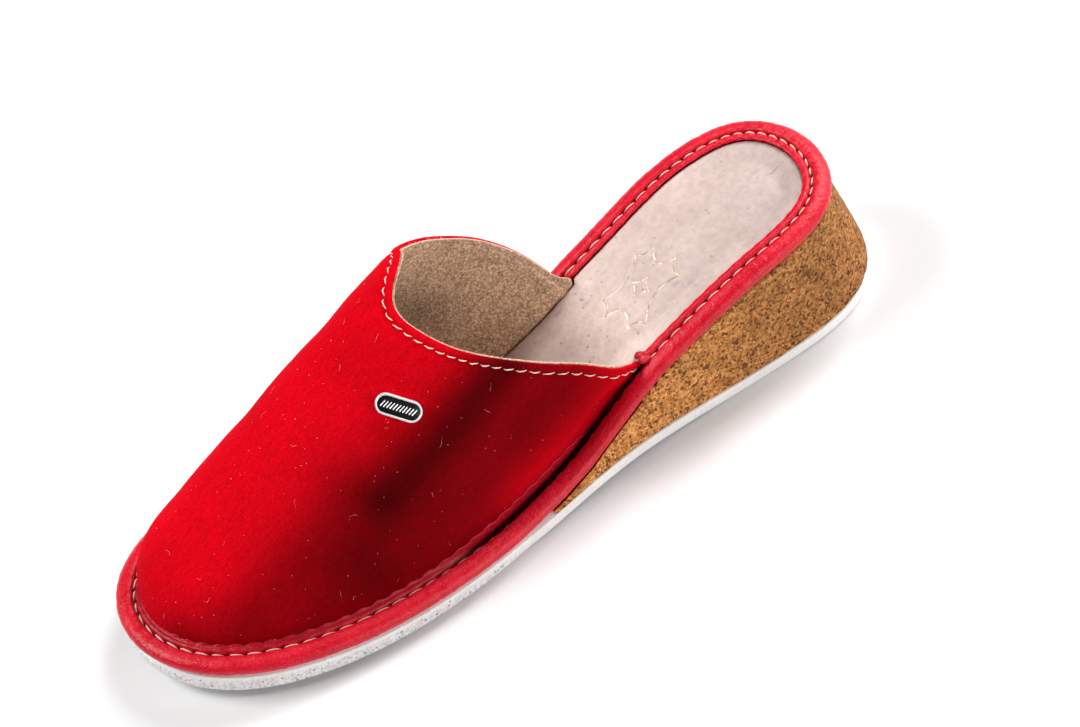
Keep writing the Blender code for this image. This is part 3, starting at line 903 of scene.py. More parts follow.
def vamp_columns():
    """Shares of the way from the topline to the toe, fine beside the topline."""
    edge = np.linspace(0.0, EDGE_SHARE, EDGE_STEPS + 1)[:-1]
    rest = np.linspace(EDGE_SHARE, 1.0, INNER_COLUMNS)
    return np.concatenate([edge, rest])


def vamp_rows():
    """Climbs of the rows, a little closer together near the platform."""
    return np.linspace(0.0, 1.0, VAMP_ROWS + 1) ** 1.15


def vamp_grid():
    """Places of the outer surface, and the table of their vertex indices.

    A row runs from the outer topline round the toe to the inner topline, at one climb;
    the last row is the ridge, whose two halves share their vertices."""
    lateral, medial = VampSide(True), VampSide(False)
    front = lateral.seat_x[-1]
    back = (1.0 - vamp_columns()) ** 2
    rows = []
    for climb in vamp_rows():
        halves = []
        for side in (lateral, medial):
            ends = smooth((0.35 - climb) / 0.3) + smooth((climb - 0.85) / 0.15)
            start = side.topline_x(climb) + RIM_REACH * (1.0 if side is lateral else ends)
            start += RIDGE_DRAWN_IN * smooth((climb - 0.86) / 0.14)
            halves.append(side.point(front - (front - start) * back, climb))
        rows.append(np.concatenate([halves[0], halves[1][-2::-1]]))
    wide = len(rows[0])
    toe = wide // 2
    ridge = rows.pop()[: toe + 1]
    places = np.concatenate([*rows, ridge])
    table = np.arange(len(rows) * wide).reshape(len(rows), wide)
    top = len(rows) * wide + np.arange(toe + 1)
    table = np.vstack([table, np.concatenate([top, top[-2::-1]])])
    return places, table


def topline_loop(table):
    """Vertex indices of the topline from the outer seat over the ridge to the inner seat."""
    return np.concatenate([table[:, 0], table[-2::-1, -1]])


def move_wall(flat, row, place, target):
    """Moves the topline's point of a row from place to target; the shift fades out along the row."""
    near = row[:FAIRED_COLUMNS]
    ease = 1.0 - smooth(np.linalg.norm(flat[near] - place, axis=1) / FAIRED_DEPTH)
    flat[near] += (target - place) * ease[:, None]


def fair_low_end(flat, table):
    """Draws the outer topline's low end as one smooth curve down to the seat."""
    line = flat[table[:, 0]]
    run = line_lengths(line)
    last = int(np.searchsorted(run, LOW_END))
    span = run[last]
    share = (run[:last] / span)[:, None]
    chord = line[last] - line[0]
    first_slope = 0.5 * chord + np.array([0.0, 0.0, 0.5 * span])
    last_slope = unit(line[last + 2] - line[last]) * span
    curve = hermite(line[0], line[last], first_slope, last_slope, share)
    for row in range(last):
        move_wall(flat, table[row], line[row], curve[row])


def fair_ridge_end(flat, table):
    """Draws the topline across the ridge as one smooth curve."""
    line = flat[topline_loop(table)]
    run = line_lengths(line)
    ridge = len(table) - 1
    first = int(np.searchsorted(run, run[ridge] - RIDGE_END))
    last = int(np.searchsorted(run, run[ridge] + RIDGE_END))
    span = run[last] - run[first]
    share = ((run[first:last + 1] - run[first]) / span)[:, None]
    first_slope = unit(line[first] - line[first - 2]) * span
    last_slope = unit(line[last + 2] - line[last]) * span
    curve = hermite(line[first], line[last], first_slope, last_slope, share)
    for k, place in enumerate(range(first, last + 1)):
        row = table[place] if place <= ridge else table[2 * ridge - place][::-1]
        move_wall(flat, row, line[place], curve[k])


def topline_phase(line):
    """Length along the topline and count of needle holes passed; the holes crowd near the ridge."""
    length = line_lengths(line)
    from_ridge = np.abs(2.0 * length / length[-1] - 1.0)
    pitch = RIDGE_PITCH + (SEAT_PITCH - RIDGE_PITCH) * smooth((from_ridge - 0.30) / 0.30)
    steps = np.diff(length) / (0.5 * (pitch[1:] + pitch[:-1]))
    return length, running_sum(steps)


def grid_normals(places, table):
    """Outward normals of a gridded surface."""
    shell = new_object("scratch", places, grid_quads(table))
    _, normals = vertex_arrays(shell.data)
    bpy.data.objects.remove(shell, do_unlink=True)
    middle = places[table[0]].mean(axis=0)
    if np.mean(np.sum(normals * (places - middle), axis=1)) < 0.0:
        normals = -normals
    return normals


def segment_distance(points, start, end):
    """Distance of points from a straight line, and the share of the line at its nearest place."""
    way = end - start
    share = np.clip((points - start) @ way / (way @ way), 0.0, 1.0)
    return np.linalg.norm(points - (start + share[:, None] * way), axis=1), share


def vamp_forms(places):
    """Offset along the normal from the listed troughs and ridges."""
    offset = np.zeros(len(places))
    steps = 8
    share = np.linspace(0.0, 1.0, steps + 1)
    for which, along_0, climb_0, along_1, climb_1, width, depth in VAMP_FORMS:
        along = along_0 + (along_1 - along_0) * share
        climb = climb_0 + (climb_1 - climb_0) * share
        for name in ("lateral", "medial"):
            if which not in ("both", name):
                continue
            line = VampSide(name == "lateral").point(SHOE_LENGTH * along, climb)
            distance = np.full(len(places), 1.0)
            place = np.zeros(len(places))
            for k in range(steps):
                near, part = segment_distance(places, line[k], line[k + 1])
                closer = near < distance
                distance[closer] = near[closer]
                place[closer] = (k + part[closer]) / steps
            # The form is deepest half-way along and shallow at both ends.
            ends = np.sin(math.pi * np.clip(0.08 + 0.84 * place, 0.0, 1.0))
            offset -= depth * MM * ends * bell(distance, 0.0, width * MM)
    return offset


def edge_relief(distance, run, line):
    """Bead of the folded topline, the groove of its seam and the soft rise behind it."""
    hole = np.cos(2.0 * math.pi * np.interp(run, *topline_phase(line)))
    groove = bell(distance, TOPLINE_STITCH_INSET, 0.9 * MM) * (0.26 + 0.12 * hole)
    bead = bell(distance, 1.0 * MM, 1.1 * MM) * (0.30 + 0.05 * hole)
    behind = bell(distance, 6.0 * MM, 1.8 * MM) * 0.10
    return MM * (bead + behind - groove)


def skin_relief(places, away):
    """Unevenness of the suede, its pulls above the rand and the bulge over the toe's flange."""
    height = places[:, 2] - platform_z(places[:, 0])
    low = 1.0 - smooth((height - 7.0 * MM) / (9.0 * MM))
    pulls = 0.16 * low * noise(places, np.array([3.2, 3.2, 9.0]) * MM, 5)
    broad = 0.30 * noise(places, 26.0 * MM, 1) + 0.12 * noise(places, 9.0 * MM, 2)
    nap = 0.035 * noise(places, 1.3 * MM, 3)
    inner_side = smooth((10.0 * MM - places[:, 1]) / (30.0 * MM))
    toe = smooth((places[:, 0] / SHOE_LENGTH - 0.78) / 0.12) * bell(height, 15.0 * MM, 10.0 * MM)
    toe = toe * (0.35 + 0.65 * inner_side) * smooth((height - 4.0 * MM) / (6.0 * MM))
    return MM * (pulls + broad * away + nap) + TOE_BULGE * toe * away


# Painted shade: strokes along which the colour of the suede and of the lining is darkened
PAINTED_SUEDE_SHADE = (
    # side, along from, climb from, along to, climb to, width mm, strength
    ("lateral", 0.48, 0.45, 0.68, 0.41, 12.0, 0.81),
    ("lateral", 0.74, 0.31, 0.84, 0.02, 11.8, 0.50),
    ("lateral", 0.44, 0.27, 0.72, 0.15, 18.5, 0.69),
    ("lateral", 0.72, 0.52, 0.89, 0.25, 11.0, 0.46),
    ("lateral", 0.59, 0.06, 0.95, 0.17, 9.0, 0.52),
    ("medial", 0.60, 0.40, 0.84, 0.16, 12.0, 0.45),
)
PAINTED_LINING_SHADE = (
    # side, along from, climb from, along to, climb to, width mm, strength
    ("medial", 0.60, 0.62, 0.50, 0.30, 13.0, 0.46),
    ("lateral", 0.60, 0.55, 0.52, 0.25, 12.0, 0.25),
)


def painted_nap_shade(places, strokes):
    """Painted shade on the nap: 1 where no stroke darkens it."""
    bright = np.ones(len(places))
    for which, along_0, climb_0, along_1, climb_1, width, strength in strokes:
        side = VampSide(which == "lateral")
        start = side.point(np.array(along_0 * SHOE_LENGTH), climb_0)
        end = side.point(np.array(along_1 * SHOE_LENGTH), climb_1)
        distance = segment_distance(places, start, end)[0] + 1.2 * MM * noise(places, 11.0 * MM, 61)
        bright *= 1.0 - strength * bell(distance, 0.0, width * MM)
    return bright


class Vamp:
    """The finished outer surface that suede, lining, stitches and fibres share."""

    def __init__(self):
        flat, self.table = vamp_grid()
        fair_low_end(flat, self.table)
        fair_ridge_end(flat, self.table)
        self.loop = topline_loop(self.table)
        normals = grid_normals(flat, self.table)
        line = flat[self.loop]
        sides = self.table[:, :SEAM_COLUMNS], self.table[:, -SEAM_COLUMNS:]
        near_edge = np.unique(np.concatenate([side.ravel() for side in sides]))
        edge_distance = np.full(len(flat), 1.0)
        edge_run = np.zeros(len(flat))
        edge_distance[near_edge], edge_run[near_edge] = nearest_on_line(flat[near_edge], line)
        self.edge_distance = edge_distance
        away = smooth((edge_distance - 3.0 * MM) / (8.0 * MM))
        offset = edge_relief(edge_distance, edge_run, line)
        offset += skin_relief(flat, away) + vamp_forms(flat) * away
        self.outer = flat + normals * offset[:, None]
        self.normals = grid_normals(self.outer, self.table)

    def layer(self, depth):
        return self.outer - self.normals * depth

    def out_of_edge(self, points):
        """Directions that leave the surface over the topline, at the topline's vertices."""
        first = points[self.loop]
        inside = np.concatenate([self.table[:, 2], self.table[-2::-1, -3]])
        normals = self.normals[self.loop]
        way = first - points[inside]
        way -= np.sum(way * normals, axis=1, keepdims=True) * normals
        line_way = unit(np.gradient(first, axis=0))
        way -= np.sum(way * line_way, axis=1, keepdims=True) * line_way
        return unit(way)


def rolled_shell(vamp, top_depth, thickness, proud, roundness):
    """Closed sheet between two depths under the vamp's surface, its topline edge rolled round."""
    outer = vamp.layer(top_depth)
    inner = vamp.layer(top_depth + thickness)
    ways = vamp.out_of_edge(outer)
    normals = vamp.normals[vamp.loop]
    count = len(outer)
    verts = [outer, inner]
    size = 2 * count
    middle = 0.5 * (outer[vamp.loop] + inner[vamp.loop])
    rows = [vamp.loop]
    for k in range(1, RIM_STEPS + 1):
        angle = math.pi * k / (RIM_STEPS + 1)
        reach = (proud + roundness * 0.5 * thickness) * math.sin(angle) ** 0.8
        lift = 0.5 * thickness * math.cos(angle)
        verts.append(middle + ways * np.reshape(reach, (-1, 1)) + normals * lift)
        rows.append(size + np.arange(len(vamp.loop)))
        size += len(vamp.loop)
    rows.append(vamp.loop + count)
    quads = [grid_quads(vamp.table), grid_quads(vamp.table + count), grid_quads(np.array(rows))]
    seat = vamp.table[0]
    quads.append(strip_quads(seat, seat + count))
    # The rim's open ends close against the seat strip.
    triangles = fan([row[0] for row in rows]) + fan([row[-1] for row in rows])
    return np.concatenate(verts), np.concatenate(quads), triangles, count


def build_upper(vamp, suede, lining):
    """The suede skin and the lining under it, each a closed sheet."""
    verts, quads, triangles, _ = rolled_shell(vamp, 0.0, SUEDE_SHELL, 0.0, 1.15)
    attributes = {"painted_shade": painted_nap_shade(verts, PAINTED_SUEDE_SHADE)}
    skin = new_object("vamp_suede", verts, quads, triangles, attributes)
    finish_piece(skin, suede, "suede", "upper")
    # The lining ends in a small rounded tab on the footbed at the inner side.
    edge_line = vamp.outer[vamp.loop]
    above = edge_line[:, 2] - platform_z(edge_line[:, 0])
    inner_side = edge_line[:, 1] < -RIDGE_OFFSET
    tab = np.where(inner_side, LINING_TAB * bell(above, 7.2 * MM, 2.7 * MM), 0.0)
    shown = np.where(inner_side, 1.0, smooth((above - 6.0 * MM) / (13.0 * MM)))
    proud = (SUEDE_SHELL * 0.5 + LINING_PROUD) * shown + tab
    verts, quads, triangles, count = rolled_shell(vamp, SUEDE_SHELL + 0.05 * MM, LINING_SHELL, proud, 0.8)
    beside = 0.25 * bell(vamp.edge_distance, 0.0, 0.5 * MM)
    tip = np.sin(math.pi * np.arange(1, RIM_STEPS + 1) / (RIM_STEPS + 1.0)) ** 5
    edge = np.concatenate([beside, beside, np.repeat(tip, len(vamp.loop))])
    rough = 0.05 * noise(verts, 0.9 * MM, 8) + 0.10 * noise(verts, 4.0 * MM, 9)
    inwards = np.concatenate([-vamp.normals, -vamp.normals, np.zeros((len(verts) - 2 * count, 3))])
    verts = verts + inwards * (MM * rough[:, None])
    attributes = {"edge": edge, "painted_shade": painted_nap_shade(verts, PAINTED_LINING_SHADE)}
    inside = new_object("vamp_lining", verts, quads, triangles, attributes)
    finish_piece(inside, lining, "suede")


# Stitches

def thread(path, ups, radius, twists=3.5, sides=8):
    """Two-ply thread along a path, with ups the directions that point off the surface."""
    path, ups = np.asarray(path), np.asarray(ups)
    ways = unit(np.gradient(path, axis=0))
    across = unit(np.cross(ways, ups))
    ups = np.cross(across, ways)
    rings = len(path)
    angle = 2.0 * math.pi * np.arange(sides) / sides
    turn = 2.0 * math.pi * twists * np.linspace(0.0, 1.0, rings)
    ply = 1.0 + 0.10 * np.cos(2.0 * (angle[None, :] - turn[:, None]))
    taper = np.sqrt(np.sin(math.pi * np.linspace(0.06, 0.94, rings)))
    size = radius * ply * taper[:, None]
    verts = (
        path[:, None, :]
        + across[:, None, :] * (size * np.cos(angle))[..., None]
        + ups[:, None, :] * (size * np.sin(angle))[..., None]
    ).reshape(-1, 3)
    table = np.arange(rings * sides).reshape(rings, sides)
    quads = grid_quads(table, closed=True)
    return verts, quads, fan(table[0]) + fan(table[-1])


def joined(parts):
    """Joins (verts, quads, triangles) parts into one."""
    verts, quads, triangles = [], [], []
    size = 0
    for part_verts, part_quads, part_triangles in parts:
        verts.append(part_verts)
        quads.append(part_quads + size)
        if len(part_triangles):
            triangles.append(np.asarray(part_triangles) + size)
        size += len(part_verts)
    return (
        np.concatenate(verts),
        np.concatenate(quads),
        np.concatenate(triangles) if triangles else np.zeros((0, 3), int),
    )


def arch(steps, height, dive):
    """Height of a stitch along its length: it dives into the holes at its ends."""
    bow = np.sin(math.pi * np.linspace(0.0, 1.0, steps)) ** 0.45
    return height * bow - dive * (1.0 - bow)


def build_topline_stitches(vamp, surface, material):
    """One thread bridge between each two needle holes, laid on the suede's surface."""
    base = vamp.outer[vamp.loop]
    length, counted = topline_phase(base)
    ways = vamp.out_of_edge(vamp.outer)
    steps = 15
    parts = []
    for k in range(1, int(counted[-1]) - 1):
        share = np.linspace(0.08, 0.92, steps)
        run = np.interp(k + share, counted, length)
        slant = 0.45 * MM * (share - 0.5)
        wobble = 0.08 * MM * math.sin(12.9 * k)
        place = along_line(run, length, base)
        way = unit(along_line(run, length, ways))
        wanted = place - way * (TOPLINE_STITCH_INSET + slant + wobble)[:, None]
        spots, ups = [], []
        for point in wanted:
            spot, normal, _, _ = surface.find_nearest(Vector(point))
            spots.append(spot)
            ups.append(normal)
        spots, ups = np.array(spots), np.array(ups)
        ups = np.where(np.sum(ups * vamp_outward(spots), axis=1, keepdims=True) < 0.0, -ups, ups)
        lift = arch(steps, 0.32 * MM, 0.25 * MM)
        parts.append(thread(spots + ups * lift[:, None], ups, TOPLINE_THREAD_RADIUS))
    obj = new_object("topline_stitches", *joined(parts))
    finish_piece(obj, material, "suede")


def vamp_outward(places):
    """Rough outward direction of the vamp, enough to tell its two faces apart."""
    return np.column_stack(
        [0.1 * np.ones(len(places)), places[:, 1] + RIDGE_OFFSET, 0.7 * (places[:, 2] - 0.035)]
    )


# Rand

WALL_HEIGHTS = np.linspace(0.0, 14.0 * MM, 29)


def wall_insets(run):
    """How far inside the rand's outline the vamp's wall stands, at each run station and wall height."""
    insets = np.full((run.count, len(WALL_HEIGHTS)), 99.0 * MM)
    climbs = np.linspace(0.0, 0.5, 90) ** 1.6
    behind_seat = run.along <= TOPLINE[0][1] + 0.004
    for lateral in (True, False):
        side = VampSide(lateral)
        chosen = np.nonzero((run.lateral == lateral) & ~behind_seat)[0]
        seat_x, seat_y = outline(run.turn[chosen], RAND_WIDTH + CLEARANCE)
        places = side.point(seat_x[:, None], climbs[None, :])
        outer_x, outer_y = outline(run.turn[chosen])
        inward = unit(np.column_stack([seat_x - outer_x, seat_y - outer_y]))
        for row, k in enumerate(chosen):
            height = places[row, :, 2] - platform_z(seat_x[row])
            inset = (places[row, :, 0] - outer_x[row]) * inward[row, 0]
            inset += (places[row, :, 1] - outer_y[row]) * inward[row, 1]
            insets[k] = np.interp(WALL_HEIGHTS, height, inset)
        first = chosen[np.argmin(run.along[chosen])]
        insets[(run.lateral == lateral) & behind_seat] = insets[first]
    return insets


def flange_lift(run):
    """Share by which the flange stands up against the vamp's sagging outer side."""
    rise = smooth((run.along - 0.306) / 0.02) * (1.0 - smooth((run.along - 0.54) / 0.16))
    return np.where(run.lateral, rise, 0.0)


def wall_at(insets, heights):
    """Inset of the vamp's wall at one height for each station."""
    return np.array([np.interp(height, WALL_HEIGHTS, row) for height, row in zip(heights, insets)])


ROLL_END = math.radians(95.0)
ROLL_ROWS = 25
GROOVE_ROW = ROLL_ROWS + 3   # after the seat's row and the roll's rows, the third of the groove


def rand_section(run, phase, insets):
    """Insets and heights, in mm, of the rand's section at every station.

    Three forms are blended: at the heel the flange laps over the footbed, at the forefoot it
    turns up against the vamp, and under the sagging outer side it stands in a deep crevice."""
    half_width, half_height = 0.5 * RAND_ROLL_WIDTH / MM, 0.5 * RAND_HEIGHT / MM
    walls = insets / MM
    hole = 0.5 + 0.5 * np.cos(2.0 * math.pi * phase)
    crevice = flange_lift(run)
    forefoot = smooth((run.along - 0.315) / 0.016)
    ones = np.ones(run.count)

    def wall(height):
        return wall_at(walls, height * MM * ones)

    rows = [(RAND_WIDTH / MM * ones, 0.0 * ones)]
    for angle in np.linspace(-0.5 * math.pi, ROLL_END, ROLL_ROWS):
        inner = smooth((angle - 0.25 * math.pi) / (0.35 * math.pi))
        inset = half_width * (1.0 - math.cos(angle)) - 0.18 * hole * inner
        height = half_height * (1.0 + math.sin(angle)) - 0.12 * hole * inner
        rows.append((inset, height))

    wave = 0.10 + 0.24 * forefoot
    wave = wave * (0.5 - hole) * 2.0 + 0.08 * noise(run.points(0.0 * ones, 0.0), 5.0 * MM, 11)
    puff = 0.12 * (1.0 - hole)
    ledge = RAND_FLANGE_HEIGHT / MM
    lap = RAND_WIDTH / MM + 0.75 + wave
    low = 4.50 - 0.80 * hole
    tip = 6.55 + wave
    lip = 8.1 - 4.6 * (1.0 - smooth((run.along - 0.395) / 0.06)) + wave
    groove = (
        # inset, height
        (5.20, 5.70 - 0.2 * hole), (5.55, 5.15 - 0.4 * hole), (5.85, low),
        (6.25, 0.45 * low + 0.55 * ledge + puff),
    )
    heel = (
        # inset, height
        *groove, (6.90, ledge + 0.10 + puff), (7.65, ledge + 0.20 + puff),
        (lap - 0.35, ledge + 0.12), (lap, ledge - 0.12), (lap + 0.12, ledge - 0.45),
        (lap - 0.05, ledge - 0.80), (lap - 0.70, ledge - 1.05), (8.00, 4.30),
    )
    fore = (
        # inset, height
        *groove, (6.85, ledge + 0.10 + puff), (wall(6.0) - 0.85, ledge + 0.30 + puff),
        (wall(6.4) - 0.58, 6.35 + 0.5 * puff), (wall(tip) - 0.48, tip - 0.10),
        (wall(tip) - 0.25, tip + 0.10), (wall(tip) + 0.02, tip - 0.05),
        (wall(6.0) + 0.05, 6.00), (8.00, 4.30),
    )
    deep = (
        # inset, height
        (5.15, 5.55), (5.75, 4.55), (6.45, 2.90 - 0.3 * hole), (7.05, 2.40 - 0.2 * hole),
        (wall(2.9) - 0.80, 2.80), (wall(0.7 * lip) - 0.66, 0.40 * lip + 1.6),
        (wall(0.9 * lip) - 0.62, 0.75 * lip + 0.5), (wall(lip) - 0.60, lip - 0.12),
        (wall(lip) - 0.30, lip + 0.12), (wall(lip) + 0.02, lip - 0.05),
        (wall(0.8 * lip) + 0.05, 0.8 * lip), (8.00, 2.60),
    )
    for at_heel, at_fore, at_deep in zip(heel, fore, deep):
        mixed = []
        for k in (0, 1):
            front = at_fore[k] * (1.0 - crevice) + at_deep[k] * crevice
            mixed.append(at_heel[k] * (1.0 - forefoot) + front * forefoot)
        rows.append(tuple(mixed))
    inset = np.column_stack([row[0] * ones for row in rows]) * MM
    height = np.column_stack([row[1] * ones for row in rows]) * MM
    return inset, height


def finer(section):
    """Adds two smoothed rows between each two rows of the groove and flange."""
    head, tail = section[:, :ROLL_ROWS], section[:, ROLL_ROWS:-2]
    count = tail.shape[1]
    fine = np.linspace(0.0, count - 1.0, 3 * count - 2)
    base = np.clip(fine.astype(int), 0, count - 2)
    share = fine - base
    before, after = np.clip(base - 1, 0, count - 1), np.clip(base + 2, 0, count - 1)
    first, second = tail[:, base], tail[:, base + 1]
    slope_1, slope_2 = 0.5 * (second - tail[:, before]), 0.5 * (tail[:, after] - first)
    curve = hermite(first, second, slope_1, slope_2, share)
    return np.hstack([head, curve, section[:, -2:]])


def build_rand(run, phase, leather):
    """The rand; returns its groove's inset and height at each station, where the thread lies."""
    insets = wall_insets(run)
    coarse_inset, coarse_height = rand_section(run, phase, insets)
    inset, height = finer(coarse_inset), finer(coarse_height)
    places = run.points(inset, height)
    table = np.arange(places[..., 0].size).reshape(places.shape[:2])
    quads = grid_quads(np.vstack([table, table[:1]]), closed=True)
    flat = places.reshape(-1, 3)
    hole = 0.5 + 0.5 * np.cos(2.0 * math.pi * phase)[:, None]
    crevice = flange_lift(run)[:, None]
    inside = smooth((inset - 5.0 * MM) / (0.6 * MM)) * smooth((height - 1.5 * MM) / MM)
    # Painted shade in the groove and its needle holes, painted shadow in the crevice under the sagging
    # vamp, and painted shade on the flange beside it.
    painted_seam_shade = bell(inset, 5.85 * MM, 0.50 * MM) * inside * (0.10 + 0.90 * hole**4)
    deep = inside * crevice * (1.0 - smooth((height - 4.2 * MM) / (2.4 * MM)))
    shaded = 0.30 * smooth((run.along[:, None] - 0.33) / 0.06) * smooth((inset - 6.1 * MM) / (0.5 * MM))
    painted_seam_shade = np.clip(painted_seam_shade + deep + shaded * inside, 0.0, 1.0)
    obj = new_object("rand_leather_roll", flat, quads, None, {"painted_seam_shade": painted_seam_shade.ravel()})
    places, normals = vertex_arrays(obj.data)
    ring = np.repeat(run.length, inset.shape[1])
    level = np.tile(np.arange(inset.shape[1]) * 0.6 * MM, run.count)
    local = np.column_stack([ring, level, np.zeros(len(ring))])
    closing = np.minimum(ring, run.total - ring)
    wrinkles = 0.050 * noise(local, np.array([1.2, 4.5, 1.0]) * MM, 21)
    wrinkles += 0.055 * noise(local, np.array([0.9, 1.5, 1.0]) * MM, 22)
    flange = smooth((inset.ravel() - 5.2 * MM) / (0.8 * MM))
    wrinkles *= 1.0 - 0.6 * flange
    lumps = 0.07 * noise(places, 7.0 * MM, 23) * (1.0 - 0.7 * flange)
    lumps += 0.03 * noise(places, 0.9 * MM, 24)
    fade = smooth(closing / (3.0 * MM))
    outside = smooth((height.ravel() - 0.3 * MM) / (1.5 * MM))
    places += normals * (MM * outside * (wrinkles * fade + lumps))[:, None]
    set_places(obj.data, places)
    finish_piece(obj, leather, "rand_leather", "rand")
    return coarse_inset[:, GROOVE_ROW], coarse_height[:, GROOVE_ROW]


def build_rand_stitches(run, phase, groove_inset, groove_height, material):
    """One thread bridge between each two needle holes of the groove."""
    steps = 17
    total = int(round(phase[-1] + (phase[1] - phase[0])))
    length = np.append(run.length, run.total)
    counted = np.append(phase, total)
    parts = []
    for k in range(total):
        share = np.linspace(0.05, 0.95, steps)
        at = np.interp(k + share, counted, length)
        turn = np.interp(at, length, np.append(run.turn, 2.0 * math.pi))
        middle = np.interp(k + 0.5, counted, length)
        inset = np.interp(middle, run.length, groove_inset)
        height = np.interp(middle, run.length, groove_height)
        slant = 0.60 * MM * (share - 0.5) + 0.08 * MM * math.sin(7.3 * k)
        x, y = outline(turn, inset + slant)
        path = np.column_stack([x, y, platform_z(x) + height + arch(steps, 0.46 * MM, 0.35 * MM)])
        parts.append(thread(path, np.tile([0.0, 0.0, 1.0], (steps, 1)), RAND_THREAD_RADIUS, 4.0))
    obj = new_object("rand_stitches", *joined(parts))
    finish_piece(obj, material, "rand_leather")


# Footbed

STAMP_CENTRE = (0.0696, 0.0024)
STAMP_TURN = math.radians(14.0)
STAMP_LENGTH, STAMP_WIDTH = 0.0252, 0.0186
STAMP_LINE = 0.00038         # width of the foil
FOIL_SECTION = (
    # side as a share of the width, lift mm
    (-0.5, -0.06),
    (-0.42, 0.035),
    (0.0, 0.05),
    (0.42, 0.035),
    (0.5, -0.06),
)
# Corners of the stamped frame's sides, and how far each hollow side bends in, as shares of half its size
STAMP_SIDES = (
    # from, to, hollow
    ((1.00, -0.50), (1.00, 0.50), 0.30),
    ((1.00, 0.50), (0.66, 0.98), 0.10),
    ((0.66, 0.98), (-0.66, 0.98), 0.34),
    ((-0.66, 0.98), (-1.00, 0.50), 0.10),
    ((-1.00, 0.50), (-1.00, -0.50), 0.30),
    ((-1.00, -0.50), (-0.66, -0.98), 0.10),
    ((-0.66, -0.98), (0.66, -0.98), 0.34),
    ((0.66, -0.98), (1.00, -0.50), 0.10),
)


def stamp_lines():
    """Centre lines of the stamp on the footbed: a hollow-sided frame round a small four-pointed star."""
    share = np.linspace(0.0, 1.0, 41)[:, None]
    rest = 1.0 - share
    frame_line = []
    for start, end, hollow in STAMP_SIDES:
        start, end = np.array(start), np.array(end)
        middle = 0.5 * (start + end)
        bend = middle - unit(middle) * 2.0 * hollow
        frame_line.append(rest**2 * start + 2.0 * share * rest * bend + share**2 * end)
    frame_line = np.concatenate(frame_line)
    angle = np.linspace(0.0, 2.0 * math.pi, 121)
    star = 0.42 * np.column_stack([np.cos(angle) ** 3 * STAMP_WIDTH / STAMP_LENGTH, np.sin(angle) ** 3])
    lines = []
    for line in (frame_line, star):
        u, v = 0.5 * STAMP_LENGTH * line[:, 0], 0.5 * STAMP_WIDTH * line[:, 1]
        x = STAMP_CENTRE[0] + u * math.cos(STAMP_TURN) - v * math.sin(STAMP_TURN)
        y = STAMP_CENTRE[1] + u * math.sin(STAMP_TURN) + v * math.cos(STAMP_TURN)
        lines.append(np.column_stack([x, y, np.zeros(len(x))]))
    return lines


def stamp_field(places):
    """Depth share of the stamp at places of the footbed."""
    flat = places * [1.0, 1.0, 0.0]
    depth = np.zeros(len(places))
    close = np.hypot(flat[:, 0] - STAMP_CENTRE[0], flat[:, 1] - STAMP_CENTRE[1]) < 0.7 * STAMP_LENGTH
    for line in stamp_lines():
        distance, _ = nearest_on_line(flat[close], line)
        depth[close] = np.maximum(depth[close], bell(distance, 0.0, 1.4 * STAMP_LINE))
    return depth


def build_stamp_foil(footbed, material):
    """Worn metal foil with painted glints in the stamp's lines, thin ribbons that lie in the pressed
    groove.
    """
    places, _ = vertex_arrays(footbed.data)
    faces = [list(face.vertices) for face in footbed.data.polygons]
    surface = BVHTree.FromPolygons(places.tolist(), faces)
    parts = []
    for line in stamp_lines():
        way = unit(np.gradient(line, axis=0) + 1e-9)
        across = np.column_stack([-way[:, 1], way[:, 0], np.zeros(len(line))])
        rows = []
        for side, lift in FOIL_SECTION:
            row = line + across * side * STAMP_LINE
            height = [
                surface.ray_cast(Vector((x, y, 0.2)), Vector((0.0, 0.0, -1.0)))[0].z for x, y, _ in row
            ]
            rows.append(np.column_stack([row[:, :2], np.array(height) + lift * MM]))
        table = np.arange(len(rows) * len(line)).reshape(len(rows), len(line))
        quads = np.concatenate([grid_quads(table), strip_quads(table[-1], table[0])])
        parts.append((np.concatenate(rows), quads, fan(table[:, 0]) + fan(table[:, -1])))
    foil = new_object("stamp_foil", *joined(parts))
    finish_piece(foil, material, "pigskin")


def cap_grid(ring_indices, ring_places, across, first_free):
    """Fills a closed loop that starts at the heel with rows across the shoe."""
    count = len(ring_indices)
    half = count // 2
    shares = np.linspace(0.0, 1.0, across + 1)
    verts, table = [], []
    for k in range(1, half):
        start, end = ring_places[k], ring_places[count - k]
        verts.append(start + (end - start) * shares[1:-1, None])
        middle = first_free + (k - 1) * (across - 1) + np.arange(across - 1)
        table.append(np.concatenate([[ring_indices[k]], middle, [ring_indices[count - k]]]))
    table = np.array(table)
    triangles = []
    for tip, row in ((ring_indices[0], table[0]), (ring_indices[half], table[-1])):
        for a, b in zip(row, row[1:]):
            triangles.append((tip, a, b))
    return np.concatenate(verts), grid_quads(table), triangles


def closed_slab(name, rings, across_bottom, across_top):
    """Closed solid through loops from the lowest to the highest, with gridded caps."""
    count = len(rings[0])
    table = np.arange(len(rings) * count).reshape(len(rings), count)
    quads = [grid_quads(table, closed=True)]
    verts = [np.concatenate(rings)]
    size = len(verts[0])
    triangles = []
    spans = []
    for row, across in ((0, across_bottom), (len(rings) - 1, across_top)):
        cap_verts, cap_quads, cap_triangles = cap_grid(table[row], rings[row], across, size)
        spans.append((size, size + len(cap_verts)))
        verts.append(cap_verts)
        quads.append(cap_quads)
        triangles.extend(cap_triangles)
        size += len(cap_verts)
    return new_object(name, np.concatenate(verts), np.concatenate(quads), triangles), spans


